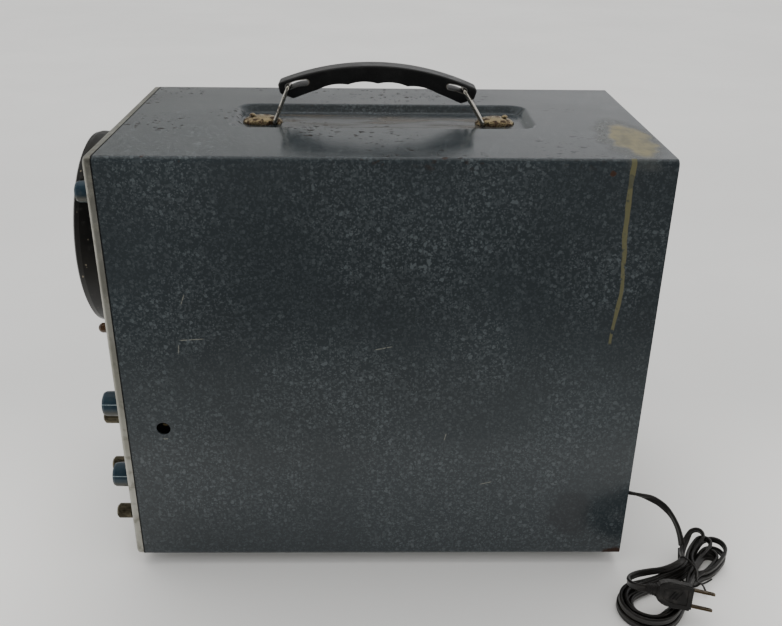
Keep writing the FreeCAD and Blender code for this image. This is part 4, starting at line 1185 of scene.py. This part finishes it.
def grip_vinyl():
    material, place = start_finish("grip_vinyl", Specular_IOR_Level=0.5)
    pebbles = place.jittered(500, 0.0006).node(
        "ShaderNodeTexVoronoi", {"feature": "SMOOTH_F1"}, {"Vector": place, "Scale": 800.0}, "Distance")
    worn = place.noise(45, 5).step(0.45, 0.70)
    dust = place.noise(380, 3).step(0.54, 0.70)
    colour = worn.tint((0.0035, 0.0035, 0.0037, 1), (0.0085, 0.0085, 0.0088, 1))
    return lay_on(
        material,
        Base_Color=(dust * 0.12).tint(colour, (0.050, 0.048, 0.044, 1)),
        Roughness=0.36 + worn * 0.12,
        Normal=(pebbles * 1.0 + place.noise(160, 4) * 0.5).bump(0.00022, 0.7),
    )


dress(grip_vinyl(), "handle_grip")


link_reach, pivot_height, grip_drop, slot_spare = 0.031, 0.3534, 0.012, 0.0025
# where each link is hinged, which way it leans, and its lean with the grip up and down
links = {"left": (-0.072, 1, 22.7, 50.0), "right": (0.095, -1, 31.6, 56.2)}


def slot_path(pivot_x, inward, lean, lean_low, steps=6):
    """The line that a link's upper wire follows in the grip as the grip goes down."""
    points = []
    for k in range(steps + 1):
        share = k / steps
        turn = math.radians(lean + (lean_low - lean) * share)
        x = pivot_x + inward * link_reach * math.sin(turn)
        z = pivot_height + link_reach * math.cos(turn) + grip_drop * share
        points.append(Vector((x, 0, z)))
    return points + [points[-1] + (points[-1] - points[-2]).normalized() * slot_spare]


def round_slot(path, radius, count=8):
    """The outline in X and Z of a slot that follows a path, round at both ends."""
    upper, lower = [], []
    for k, point in enumerate(path):
        ahead = (path[min(k + 1, len(path) - 1)] - path[max(k - 1, 0)]).normalized()
        across = Vector((-ahead.z, 0, ahead.x))
        upper.append(point + across * radius)
        lower.append(point - across * radius)
    caps = []
    for end, before in ((path[-1], path[-2]), (path[0], path[1])):
        ahead = (end - before).normalized()
        across = Vector((-ahead.z, 0, ahead.x))
        turns = [math.pi * (0.5 - k / count) for k in range(1, count)]
        caps.append([end + (ahead * math.cos(t) + across * math.sin(t)) * radius for t in turns])
    return upper + caps[0] + lower[::-1] + caps[1]


grip_low, grip_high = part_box("handle_grip")
for end_name, link in links.items():
    path = slot_path(*link)
    for face_side, face_y, outward in (("near", grip_low.y, -1), ("far", grip_high.y, 1)):
        inner, outer = round_slot(path, 0.00212), round_slot(path, 0.0027)
        shape = bmesh.new()
        rings = []
        for outline, proud in ((inner, -0.0002), (inner, 0.0003), (outer, 0.0002), (outer, -0.0002)):
            rings.append([shape.verts.new((p.x, face_y + outward * proud, p.z)) for p in outline])
        bridge(shape, rings + rings[:1])
        eyelet = finished("slot_eyelet_%s_%s" % (end_name, face_side), shape, smooth=False)
        eyelet.data.materials.append(bright_steel)
        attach(eyelet, "handle")

# ---- bench and light ---------------------------------------------------------------------
# Pale paper under a big soft overhead light, in a pale room.  What the glossy enamel
# mirrors is out of the camera's sight: a dark card in front, a dark wall and ceiling beyond
# it, and a grey wall at the back.
floor_shape = bmesh.new()
add_box(floor_shape, (-9.0, -9.0, -0.010), (9.0, 9.0, 0.0))
floor = finished("bench", floor_shape, smooth=False)


def paper():
    material, place = start_finish("paper", Specular_IOR_Level=0.2, Emission_Strength=1.0)
    soft = place.noise(1.6, 3).step(0.3, 0.7)
    creases = place.noise(7, 4).step(0.40, 0.70)
    colour = soft.tint((0.735, 0.732, 0.712, 1), (0.775, 0.772, 0.752, 1))
    colour = (creases * 0.25).tint(colour, (0.71, 0.708, 0.69, 1))
    # painted light: towards the camera the paper is painted paler and glows, standing in for the light
    # that falls there
    ahead = place.axis("Y").step(0.20, -0.16)
    aside = abs(place.axis("X") - 0.02).step(0.16, 0.40)
    near = ahead * (0.35 + 0.65 * aside)
    return lay_on(
        material,
        Base_Color=near.tint(colour, (0.93, 0.92, 0.89, 1)),
        Emission_Color=near.tint((0, 0, 0, 1), (0.155, 0.150, 0.138, 1)),
        Roughness=0.75 + soft * 0.1,
    )


floor.data.materials.append(paper())

card_shape = bmesh.new()
add_box(card_shape, (-1.4, -2.4, 0.001), (1.4, -0.30, 0.002))
card = finished("dark_card", card_shape, smooth=False)


def shaded_paint(name, letter, start, end, first, last):
    """Matt paint that goes from one shade to another along an axis."""
    material, place = start_finish(name, Specular_IOR_Level=0.0, Roughness=1.0)
    return lay_on(material, Base_Color=place.axis(letter).step(start, end).tint(first, last))


dark = shaded_paint("card_paint", "Y", -0.30, -0.62, (0.60, 0.60, 0.58, 1), (0.10, 0.10, 0.10, 1))
grey = shaded_paint("back_paint", "X", -1.8, 1.8, (0.50, 0.50, 0.49, 1), (0.80, 0.80, 0.81, 1))
wall_shape = bmesh.new()
add_box(wall_shape, (-4.0, -2.61, 0.0), (4.0, -2.60, 2.4))
add_box(wall_shape, (-4.0, -2.60, 2.4), (4.0, 0.50, 2.41))
wall = finished("dark_room", wall_shape, smooth=False)
back_shape = bmesh.new()
add_box(back_shape, (-6.0, 4.50, 0.0), (6.0, 4.51, 5.0))
back = finished("back_wall", back_shape, smooth=False)
for hidden, paint in ((card, dark), (wall, dark), (back, grey)):
    hidden.data.materials.append(paint)
    hidden.visible_camera = False
    hidden.visible_shadow = False
    hidden.visible_diffuse = False

room = bpy.data.worlds.new("room")
room.use_nodes = True
room_light = room.node_tree.nodes["Background"].inputs
room_light["Color"].default_value = (0.96, 0.965, 0.98, 1)
room_light["Strength"].default_value = 0.86
bpy.context.scene.world = room

overhead = bpy.data.lights.new("overhead", "SUN")
overhead.energy = 1.7
overhead.angle = math.radians(70)
overhead.color = (1.0, 0.985, 0.955)
overhead_light = bpy.data.objects.new("overhead", overhead)
overhead_light.rotation_euler = (math.radians(-24), math.radians(-8), 0)
overhead_light.visible_glossy = False
bpy.context.scene.collection.objects.link(overhead_light)
